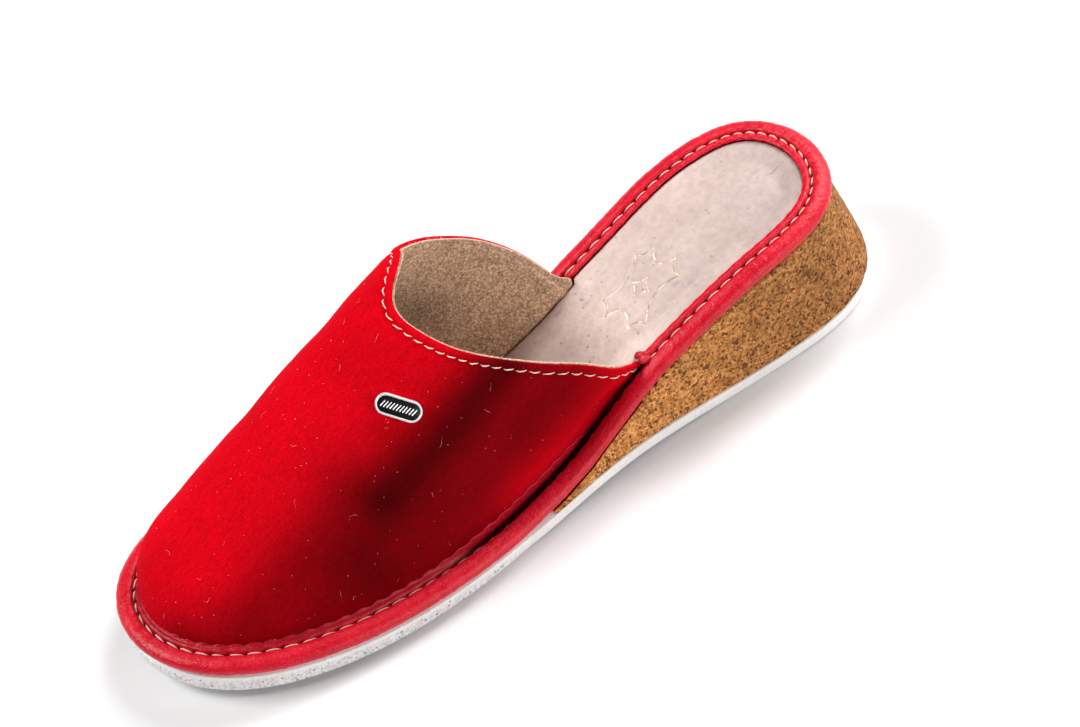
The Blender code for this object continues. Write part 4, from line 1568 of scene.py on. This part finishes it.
def even_turns(steps, last=math.pi):
    """Turns of a loop from the heel to the turn last and back, nearly even by length on each side."""
    turn = np.linspace(0.0, last, 4001)
    x, y = outline(turn)
    length = running_sum(np.hypot(np.diff(x), np.diff(y)))
    lateral = np.interp(np.linspace(0.0, length[-1], steps + 1), length, turn)
    medial = -lateral[1:][::-1]
    return np.concatenate([lateral, medial[1:] if last == math.pi else medial])


def build_insole(pigskin):
    """Footbed; its top is a fine grid that carries the cup, the pillow, the valley and the stamp."""
    end = min(TOPLINE[0][1], TOPLINE[0][2]) * SHOE_LENGTH - UPPER_WALL
    turns = even_turns(540)
    x, _ = outline(turns)
    beside = smooth((x - (end + 0.7 * UPPER_WALL)) / UPPER_WALL)
    inset = RAND_WIDTH + CLEARANCE + (UPPER_WALL + CLEARANCE) * beside
    top = INSOLE_THICKNESS
    rings = [ring(turns, inset, platform_z), ring(turns, inset, platform_z, 0.5 * top)]
    for inwards, below in ((0.0, 1.0), (0.10, 0.62), (0.30, 0.28), (0.62, 0.08), (1.0, 0.0)):
        rings.append(ring(turns, inset + inwards * INSOLE_EDGE, platform_z, top - below * INSOLE_EDGE))
    obj, spans = closed_slab("footbed_pigskin", rings, 8, 140)
    places, _ = vertex_arrays(obj.data)
    low, high = spans[1]
    inner = places[low:high]
    rim = np.vstack([rings[-1], rings[-1][:1]])
    rim_flat, inner_flat = rim * [1.0, 1.0, 0.0], inner * [1.0, 1.0, 0.0]
    distance, rim_run = nearest_on_line(inner_flat, rim_flat)
    near_lateral = rim_run < 0.5 * line_lengths(rim_flat)[-1]
    cup = -INSOLE_CUP * smooth(distance / INSOLE_CUP_WIDTH)
    along = inner[:, 0] / SHOE_LENGTH
    heel_part = smooth(along / 0.06) * (1.0 - smooth((along - 0.46) / 0.08))
    pillow = 0.80 * MM * smooth((distance - 6.0 * MM) / (12.0 * MM)) * heel_part
    valley = -0.95 * MM * bell(distance, 6.2 * MM, 2.8 * MM) * heel_part
    valley *= np.where(near_lateral, 1.0, 0.35)
    ripples = 0.16 * MM * noise(inner, np.array([16.0, 9.0, 99.0]) * MM, 31)
    ripples += 0.05 * MM * noise(inner, 3.5 * MM, 32) + 0.015 * MM * noise(inner, 1.1 * MM, 33)
    stamp = -0.25 * MM * stamp_field(inner)
    ease = smooth(distance / (1.5 * MM))
    inner[:, 2] = platform_z(inner[:, 0]) + top + cup + pillow + valley + ripples * ease + stamp
    places[low:high] = inner
    set_places(obj.data, places)
    # The footbed's colour carries painted shade at the heel and painted light in the throat.
    throat_painted_light = smooth((places[:, 0] - 68.0 * MM) / (21.0 * MM))
    throat_painted_light *= smooth((places[:, 1] + 30.0 * MM) / (24.0 * MM))
    pale = 0.82 + 0.16 * smooth(places[:, 0] / (62.0 * MM)) + 0.50 * throat_painted_light
    add_attribute(obj.data, "pale", pale)
    finish_piece(obj, pigskin, "pigskin", "insole")
    return obj


# Cork wedge and foam outsole

def wedge_front_turn():
    """Turn of the outline at which the cork has thinned to its front edge."""
    along = np.linspace(0.0, 1.0, TABLE_STEPS)
    thin = wedge_thickness(along * SHOE_LENGTH) - CLEARANCE
    front = along[np.argmax(thin < WEDGE_FRONT_EDGE)]
    return math.acos(1.0 - 2.0 * front)


def build_wedge(cork):
    turns = even_turns(289, wedge_front_turn())
    low = ring(turns, -floor_flare(turns), outsole_top_z, CLEARANCE)
    high = ring(turns, WEDGE_TOP_INSET, platform_z, -CLEARANCE)
    rows = 64
    rings = [low + (high - low) * share for share in np.linspace(0.0, 1.0, rows + 1)]
    count = len(turns)
    table = np.arange(len(rings) * count).reshape(len(rings), count)
    quads = [grid_quads(table, closed=True)]
    triangles = []
    k = np.arange(1, count // 2 + 1)
    for loop in (table[0], table[-1]):
        quads.append(strip_quads(loop[k], loop[count - k]))
        triangles.append((loop[0], loop[1], loop[-1]))
    obj = new_object("cork_wedge", np.concatenate(rings), np.concatenate(quads), triangles)
    places, normals = vertex_arrays(obj.data)
    level = np.repeat(np.linspace(0.0, 1.0, rows + 1), count)
    tall = np.tile(high[:, 2] - low[:, 2], rows + 1)
    edge = np.minimum(level, 1.0 - level) * tall
    grains = 0.07 * noise(places, 1.5 * MM, 41) + 0.05 * noise(places, 0.8 * MM, 42)
    pits = -0.30 * smooth((noise(places, 1.9 * MM, 43) - 0.55) / 0.35)
    broad = 0.18 * noise(places, 14.0 * MM, 44)
    rounded = -0.30 * bell(edge, 0.0, 0.8 * MM)
    relief = MM * (grains + pits + broad + rounded) * np.clip(tall / (3.0 * MM), 0.0, 1.0)
    places += normals * relief[:, None]
    set_places(obj.data, places)
    # Painted shade: the cork's colour is darker at the back than towards the front.
    add_attribute(obj.data, "tone", 0.75 + 0.53 * smooth((places[:, 0] - 28.0 * MM) / (64.0 * MM)))
    finish_piece(obj, cork, "cork", "wedge")


def tread_depth(x, y):
    """Shallow wave ribs across the sole, inside a plain border."""
    wave = 0.5 + 0.5 * np.cos(2.0 * math.pi * (x + 1.6 * MM * np.sin(y / (3.2 * MM))) / (5.0 * MM))
    return 0.55 * MM * smooth((wave - 0.45) / 0.4)


def build_outsole(foam):
    turns = even_turns(520)
    flare = floor_flare(turns)
    x, _ = outline(turns)
    thick = outsole_top_z(x) - tread_z(x)
    rows = 12
    rings = [
        ring(turns, OUTSOLE_EDGE - flare, tread_z),
        ring(turns, 0.35 * OUTSOLE_EDGE - flare, tread_z, 0.22 * OUTSOLE_EDGE),
    ]
    forefoot = smooth((x / SHOE_LENGTH - 0.52) / 0.12)
    for share in np.linspace(0.0, 1.0, rows):
        lift = OUTSOLE_EDGE + (thick - OUTSOLE_EDGE) * share
        step = 0.22 * MM * forefoot * (1.0 - smooth((share - 0.66) / 0.14))
        groove = 0.30 * MM * bell(share, 0.72, 0.07) * forefoot
        soften = 0.25 * MM * smooth((share - 0.88) / 0.12)
        rings.append(ring(turns, -flare - step + groove + soften, tread_z, lift))
    obj, spans = closed_slab("foam_outsole", rings, 92, 10)
    places, normals = vertex_arrays(obj.data)
    low, high = spans[0]
    inner = places[low:high]
    rim = np.vstack([rings[0], rings[0][:1]]) * [1.0, 1.0, 0.0]
    distance, _ = nearest_on_line(inner * [1.0, 1.0, 0.0], rim)
    border = smooth((distance - 4.0 * MM) / (1.2 * MM))
    inner[:, 2] = tread_z(inner[:, 0]) + tread_depth(inner[:, 0], inner[:, 1]) * border
    places[low:high] = inner
    bottom = tread_z(places[:, 0])
    level = (places[:, 2] - bottom) / (outsole_top_z(places[:, 0]) - bottom)
    zone = smooth((places[:, 0] / SHOE_LENGTH - 0.50) / 0.16)
    rough = np.clip(0.15 + zone * (1.0 - smooth((level - 0.62) / 0.12)), 0.0, 1.0)
    side = smooth((level - 0.12) / 0.1) * (1.0 - smooth((level - 0.93) / 0.05))
    crumbs = 0.10 * noise(places, 0.9 * MM, 51) + 0.12 * noise(places, 2.2 * MM, 52)
    places += normals * (MM * side * rough * crumbs)[:, None]
    set_places(obj.data, places)
    add_attribute(obj.data, "rough", rough)
    finish_piece(obj, foam, "foam", "outsole")


# Badge

def capped_loft(loops):
    """Closed solid through equally long loops, its two ends filled."""
    table = np.arange(len(loops) * len(loops[0])).reshape(len(loops), -1)
    return np.concatenate(loops), grid_quads(table, closed=True), fan(table[0]) + fan(table[-1])


BADGE_FLOOR = BADGE_THICKNESS - BADGE_RECESS
FIELD_LENGTH = BADGE_LENGTH - 2.0 * BADGE_RIM - 0.1 * MM
FIELD_WIDTH = BADGE_WIDTH - 2.0 * BADGE_RIM - 0.1 * MM
BARS_EACH_WAY = 5            # slanted bars on each side of the middle one
BAR_PITCH = 0.98 * MM
BAR_WIDTH = 0.40 * MM
BAR_HEIGHT = 0.28 * MM
BAR_LEAN = math.radians(24.0)


def badge_rim_loops():
    """Loops from under the vamp's surface, over the rounded rim and down to the recess."""
    loops = [stadium(BADGE_LENGTH, BADGE_WIDTH, -0.6 * MM)]
    for k in range(9):
        angle = math.pi * k / 8.0
        inset = 0.5 * BADGE_RIM * (1.0 - math.cos(angle))
        height = BADGE_THICKNESS - 0.35 * BADGE_RIM * (1.0 - math.sin(angle))
        loops.append(stadium(BADGE_LENGTH - 2.0 * inset, BADGE_WIDTH - 2.0 * inset, height))
    loops.append(stadium(BADGE_LENGTH - 2.0 * BADGE_RIM, BADGE_WIDTH - 2.0 * BADGE_RIM, BADGE_FLOOR))
    return loops


def badge_field_loops():
    """Loops of the low dome that fills the recess."""
    loops = [stadium(FIELD_LENGTH, FIELD_WIDTH, BADGE_FLOOR + 0.02 * MM)]
    for share in (1.0, 0.97, 0.88, 0.70, 0.45, 0.20):
        dome = BADGE_FLOOR + 0.12 * MM + 0.22 * MM * (1.0 - share**2)
        loops.append(stadium(FIELD_LENGTH - FIELD_WIDTH * (1.0 - share), FIELD_WIDTH * share, dome))
    return loops


def badge_bar_loops(number):
    """Loops of one raised, slanted bar; number counts from the badge's middle."""
    loops = []
    for step in range(5):
        angle = 0.5 * math.pi * step / 4.5
        narrow = BAR_WIDTH * math.cos(angle)
        height = BADGE_FLOOR + 0.22 * MM + BAR_HEIGHT * math.sin(angle)
        loop = stadium(0.46 * FIELD_WIDTH - BAR_WIDTH + narrow, narrow, height, 5)
        turned = loop.copy()
        turned[:, 0] = loop[:, 0] * math.sin(BAR_LEAN) - loop[:, 1] * math.cos(BAR_LEAN)
        turned[:, 0] += number * BAR_PITCH
        turned[:, 1] = loop[:, 0] * math.cos(BAR_LEAN) + loop[:, 1] * math.sin(BAR_LEAN)
        loops.append(turned)
    return loops


def build_badge(steel, enamel):
    seat = badge_seat()
    lift = seat_gap(BADGE_LENGTH, BADGE_WIDTH, seat)

    def on_vamp(loops):
        return capped_loft([place_on_vamp(loop, seat, lift) for loop in loops])

    rim = new_object("badge_rim", *on_vamp(badge_rim_loops()))
    finish_piece(rim, steel, "badge_steel", "badge_plate")
    field = new_object("badge_field", *on_vamp(badge_field_loops()))
    finish_piece(field, enamel, "badge_black", "badge_inlay")
    bars = [on_vamp(badge_bar_loops(k)) for k in range(-BARS_EACH_WAY, BARS_EACH_WAY + 1)]
    finish_piece(new_object("badge_rope", *joined(bars)), steel, "badge_steel")


# Tuck where the topline meets the rand, and the lint on the suede

TUCK_PLACE = (84.0, 24.6, 30.5)
TUCK_BLOBS = (
    # towards the heel, outwards, up and size, in mm
    (0.0, 0.0, 0.0, 1.50),
    (1.5, -0.9, 0.2, 1.15),
    (-0.6, -1.5, 0.9, 1.20),
)
# Painted shade on the tuck
TUCK_PAINTED_SHADE = 0.30             # how dark the tuck is, as a share of a seam's shade


def tuck_blob(number, centre, size):
    """One lumpy, folded blob of the knot, long towards the toe."""
    sides, rings = 28, 15
    angle = 2.0 * math.pi * np.arange(sides) / sides
    loops = []
    for step in range(rings):
        tilt = math.pi * ((step + 0.5) / rings - 0.5)
        lumpy = 1.0 + 0.12 * math.sin(3.0 * tilt + number) + 0.10 * np.cos(3.0 * angle + 2.0 * number)
        width = size * math.cos(tilt)
        loop = np.column_stack(
            [
                1.5 * size * math.sin(tilt) + 0.2 * width * np.cos(angle),
                width * lumpy * np.cos(angle),
                0.9 * width * lumpy * np.sin(angle) + 0.25 * size * math.sin(2.0 * tilt),
            ]
        )
        folds = 0.22 * MM * noise(centre + loop, 1.4 * MM, 71)
        loops.append(centre + loop * (1.0 + folds[:, None] / size))
    return capped_loft(loops)


def build_tuck(leather):
    """The folded edge's end turns in over the rand's flange and ends in a small knot."""
    x, y, z = TUCK_PLACE
    parts = []
    for k, (back, out, up, size) in enumerate(TUCK_BLOBS):
        parts.append(tuck_blob(k, np.array([x - back, y + out, z + up]) * MM, size * MM))
    verts, quads, triangles = joined(parts)
    obj = new_object("topline_tuck", verts, quads, triangles, {"painted_seam_shade": np.full(len(verts), TUCK_PAINTED_SHADE)})
    finish_piece(obj, leather, "rand_leather")


LINT_COUNT = 260             # specks and fibres on the suede
FUZZ_COUNT = 1500            # fibres of the lining's raw edge


def build_lint(vamp, material, draw):
    """Curly fibres and specks on the suede; every fourth is a long fibre."""
    faces = grid_quads(vamp.table)
    faces = faces[np.all(vamp.edge_distance[faces] > 5.0 * MM, axis=1)]
    spots = vamp.outer[faces]
    area = np.linalg.norm(np.cross(spots[:, 2] - spots[:, 0], spots[:, 3] - spots[:, 1]), axis=1)
    picked = draw.choice(len(faces), size=LINT_COUNT, p=area / area.sum())
    parts = []
    for k, face in enumerate(picked):
        centre, normal = spots[face].mean(axis=0), vamp.normals[faces[face][0]]
        side = unit(np.cross(normal, draw.normal(size=3)))
        other = np.cross(normal, side)
        long_fibre = k % 4 == 0
        length = (draw.uniform(0.9, 3.0) if long_fibre else draw.uniform(0.12, 0.40)) * MM
        radius = (0.020 if long_fibre else 0.060) * MM
        steps = 9 if long_fibre else 4
        share = np.linspace(0.0, 1.0, steps)
        bend = draw.uniform(1.5, 5.0)
        path = (
            centre
            + side * (length * (share - 0.5))[:, None]
            + other * (0.25 * length * np.sin(bend * share + draw.uniform(0.0, 6.0)))[:, None]
            + normal * (0.10 * MM + 0.10 * length * np.sin(math.pi * share))[:, None]
        )
        parts.append(thread(path, np.tile(normal, (steps, 1)), radius, 0.5, 5))
    finish_piece(new_object("suede_lint", *joined(parts)), material, "suede")


def build_fuzz(vamp, material, draw):
    """Short fibres that stand out of the lining's raw edge."""
    line = vamp.outer[vamp.loop] - vamp.normals[vamp.loop] * (SUEDE_SHELL + 0.4 * MM)
    ways = vamp.out_of_edge(vamp.outer)
    reach = 0.5 * SUEDE_SHELL + LINING_PROUD
    parts = []
    for _ in range(FUZZ_COUNT):
        at = draw.uniform(2.0, len(line) - 3.0)
        low = int(at)
        share = at - low
        base = line[low] * (1.0 - share) + line[low + 1] * share
        way, normal = ways[low], vamp.normals[vamp.loop[low]]
        aim = unit(way + 0.8 * draw.normal(size=3))
        length = draw.uniform(0.25, 0.8) * MM
        start = base + way * reach * draw.uniform(0.7, 1.0) + normal * draw.uniform(-0.35, 0.35) * MM
        curl = 0.3 * length * draw.normal(size=3)
        path = np.array([start, start + aim * 0.5 * length + 0.4 * curl, start + aim * length + curl])
        parts.append(thread(path, np.tile(normal, (3, 1)), 0.030 * MM, 0.0, 3))
    finish_piece(new_object("lining_fuzz", *joined(parts)), material, "suede")


# Room

CAMERA_PLACE = Vector((0.210862, 0.646783, 0.811260))
CAMERA_RIGHT = Vector((-0.819537, 0.536176, -0.202174))
CAMERA_BACK = Vector((0.219082, 0.619194, 0.754057))
LENS = 113.25
FLOOR_SIZE = 4.0
WORLD_STRENGTH = 0.06
LIGHTS = (
    # name, place, aim, width, height, power
    ("toe_key", (0.724, -0.418, 0.996), (0.0, 0.0, 0.03), 0.55, 0.55, 14.5),
    ("heel_key", (-0.757, -0.353, 0.996), (0.0, 0.0, 0.03), 0.55, 0.55, 12.5),
    ("mouth_fill", (-1.00, 0.00, 0.52), (0.0, 0.0, 0.03), 0.5, 0.4, 4.5),
    ("near_fill", (-0.40, 1.05, 0.40), (-0.02, 0.0, 0.02), 1.1, 0.5, 8.7),
)


def build_camera():
    """Camera at the angle from which the photo was taken, rolled as it is there."""
    data = bpy.data.cameras.new("camera")
    data.lens = LENS
    data.sensor_width = 36.0
    data.clip_start, data.clip_end = 0.05, 20.0
    camera = bpy.data.objects.new("camera", data)
    up = CAMERA_BACK.cross(CAMERA_RIGHT)
    turn = Matrix((CAMERA_RIGHT, up, CAMERA_BACK)).transposed()
    camera.matrix_world = Matrix.Translation(CAMERA_PLACE) @ turn.to_4x4()
    bpy.context.scene.collection.objects.link(camera)
    bpy.context.scene.camera = camera


def area_light(name, place, aim, width, height, power):
    data = bpy.data.lights.new(name, "AREA")
    data.shape = "RECTANGLE"
    data.size, data.size_y = width, height
    data.energy = power
    data.spread = math.pi
    light = bpy.data.objects.new(name, data)
    light.location = place
    light.rotation_euler = (Vector(place) - Vector(aim)).to_track_quat("Z", "Y").to_euler()
    bpy.context.scene.collection.objects.link(light)


def build_floor():
    bm = bmesh.new()
    bmesh.ops.create_grid(bm, x_segments=8, y_segments=8, size=FLOOR_SIZE)
    mesh = bpy.data.meshes.new("floor")
    bm.to_mesh(mesh)
    bm.free()
    floor = bpy.data.objects.new("floor", mesh)
    floor.data.materials.append(floor_material())
    bpy.context.scene.collection.objects.link(floor)


def build_lights():
    world = bpy.data.worlds.new("room")
    world.use_nodes = True
    background = world.node_tree.nodes["Background"]
    background.inputs["Color"].default_value = (1.0, 1.0, 1.0, 1.0)
    background.inputs["Strength"].default_value = WORLD_STRENGTH
    bpy.context.scene.world = world
    for row in LIGHTS:
        area_light(*row)
    bpy.context.scene.view_settings.view_transform = "Standard"


def build_shoe():
    suede, lining, leather = suede_material(), lining_material(), leather_material()
    thread_look, lint_look = thread_material(), lint_material()
    vamp = Vamp()
    build_upper(vamp, suede, lining)
    surface = BVHTree.FromPolygons(vamp.outer.tolist(), grid_quads(vamp.table).tolist())
    build_topline_stitches(vamp, surface, thread_look)
    run = Run(0.45 * MM)
    phase = seam_phase(run)
    groove_inset, groove_height = build_rand(run, phase, leather)
    build_rand_stitches(run, phase, groove_inset, groove_height, thread_look)
    footbed = build_insole(pigskin_material())
    build_stamp_foil(footbed, foil_material())
    build_wedge(cork_material())
    build_outsole(foam_material())
    build_badge(steel_material(), enamel_material())
    build_tuck(leather)
    draw = np.random.default_rng(27)
    build_lint(vamp, lint_look, draw)
    build_fuzz(vamp, lint_look, draw)


build_camera()
build_floor()
build_lights()
build_shoe()


def corners(box):
    return [[float(value) for value in corner] for corner in box]
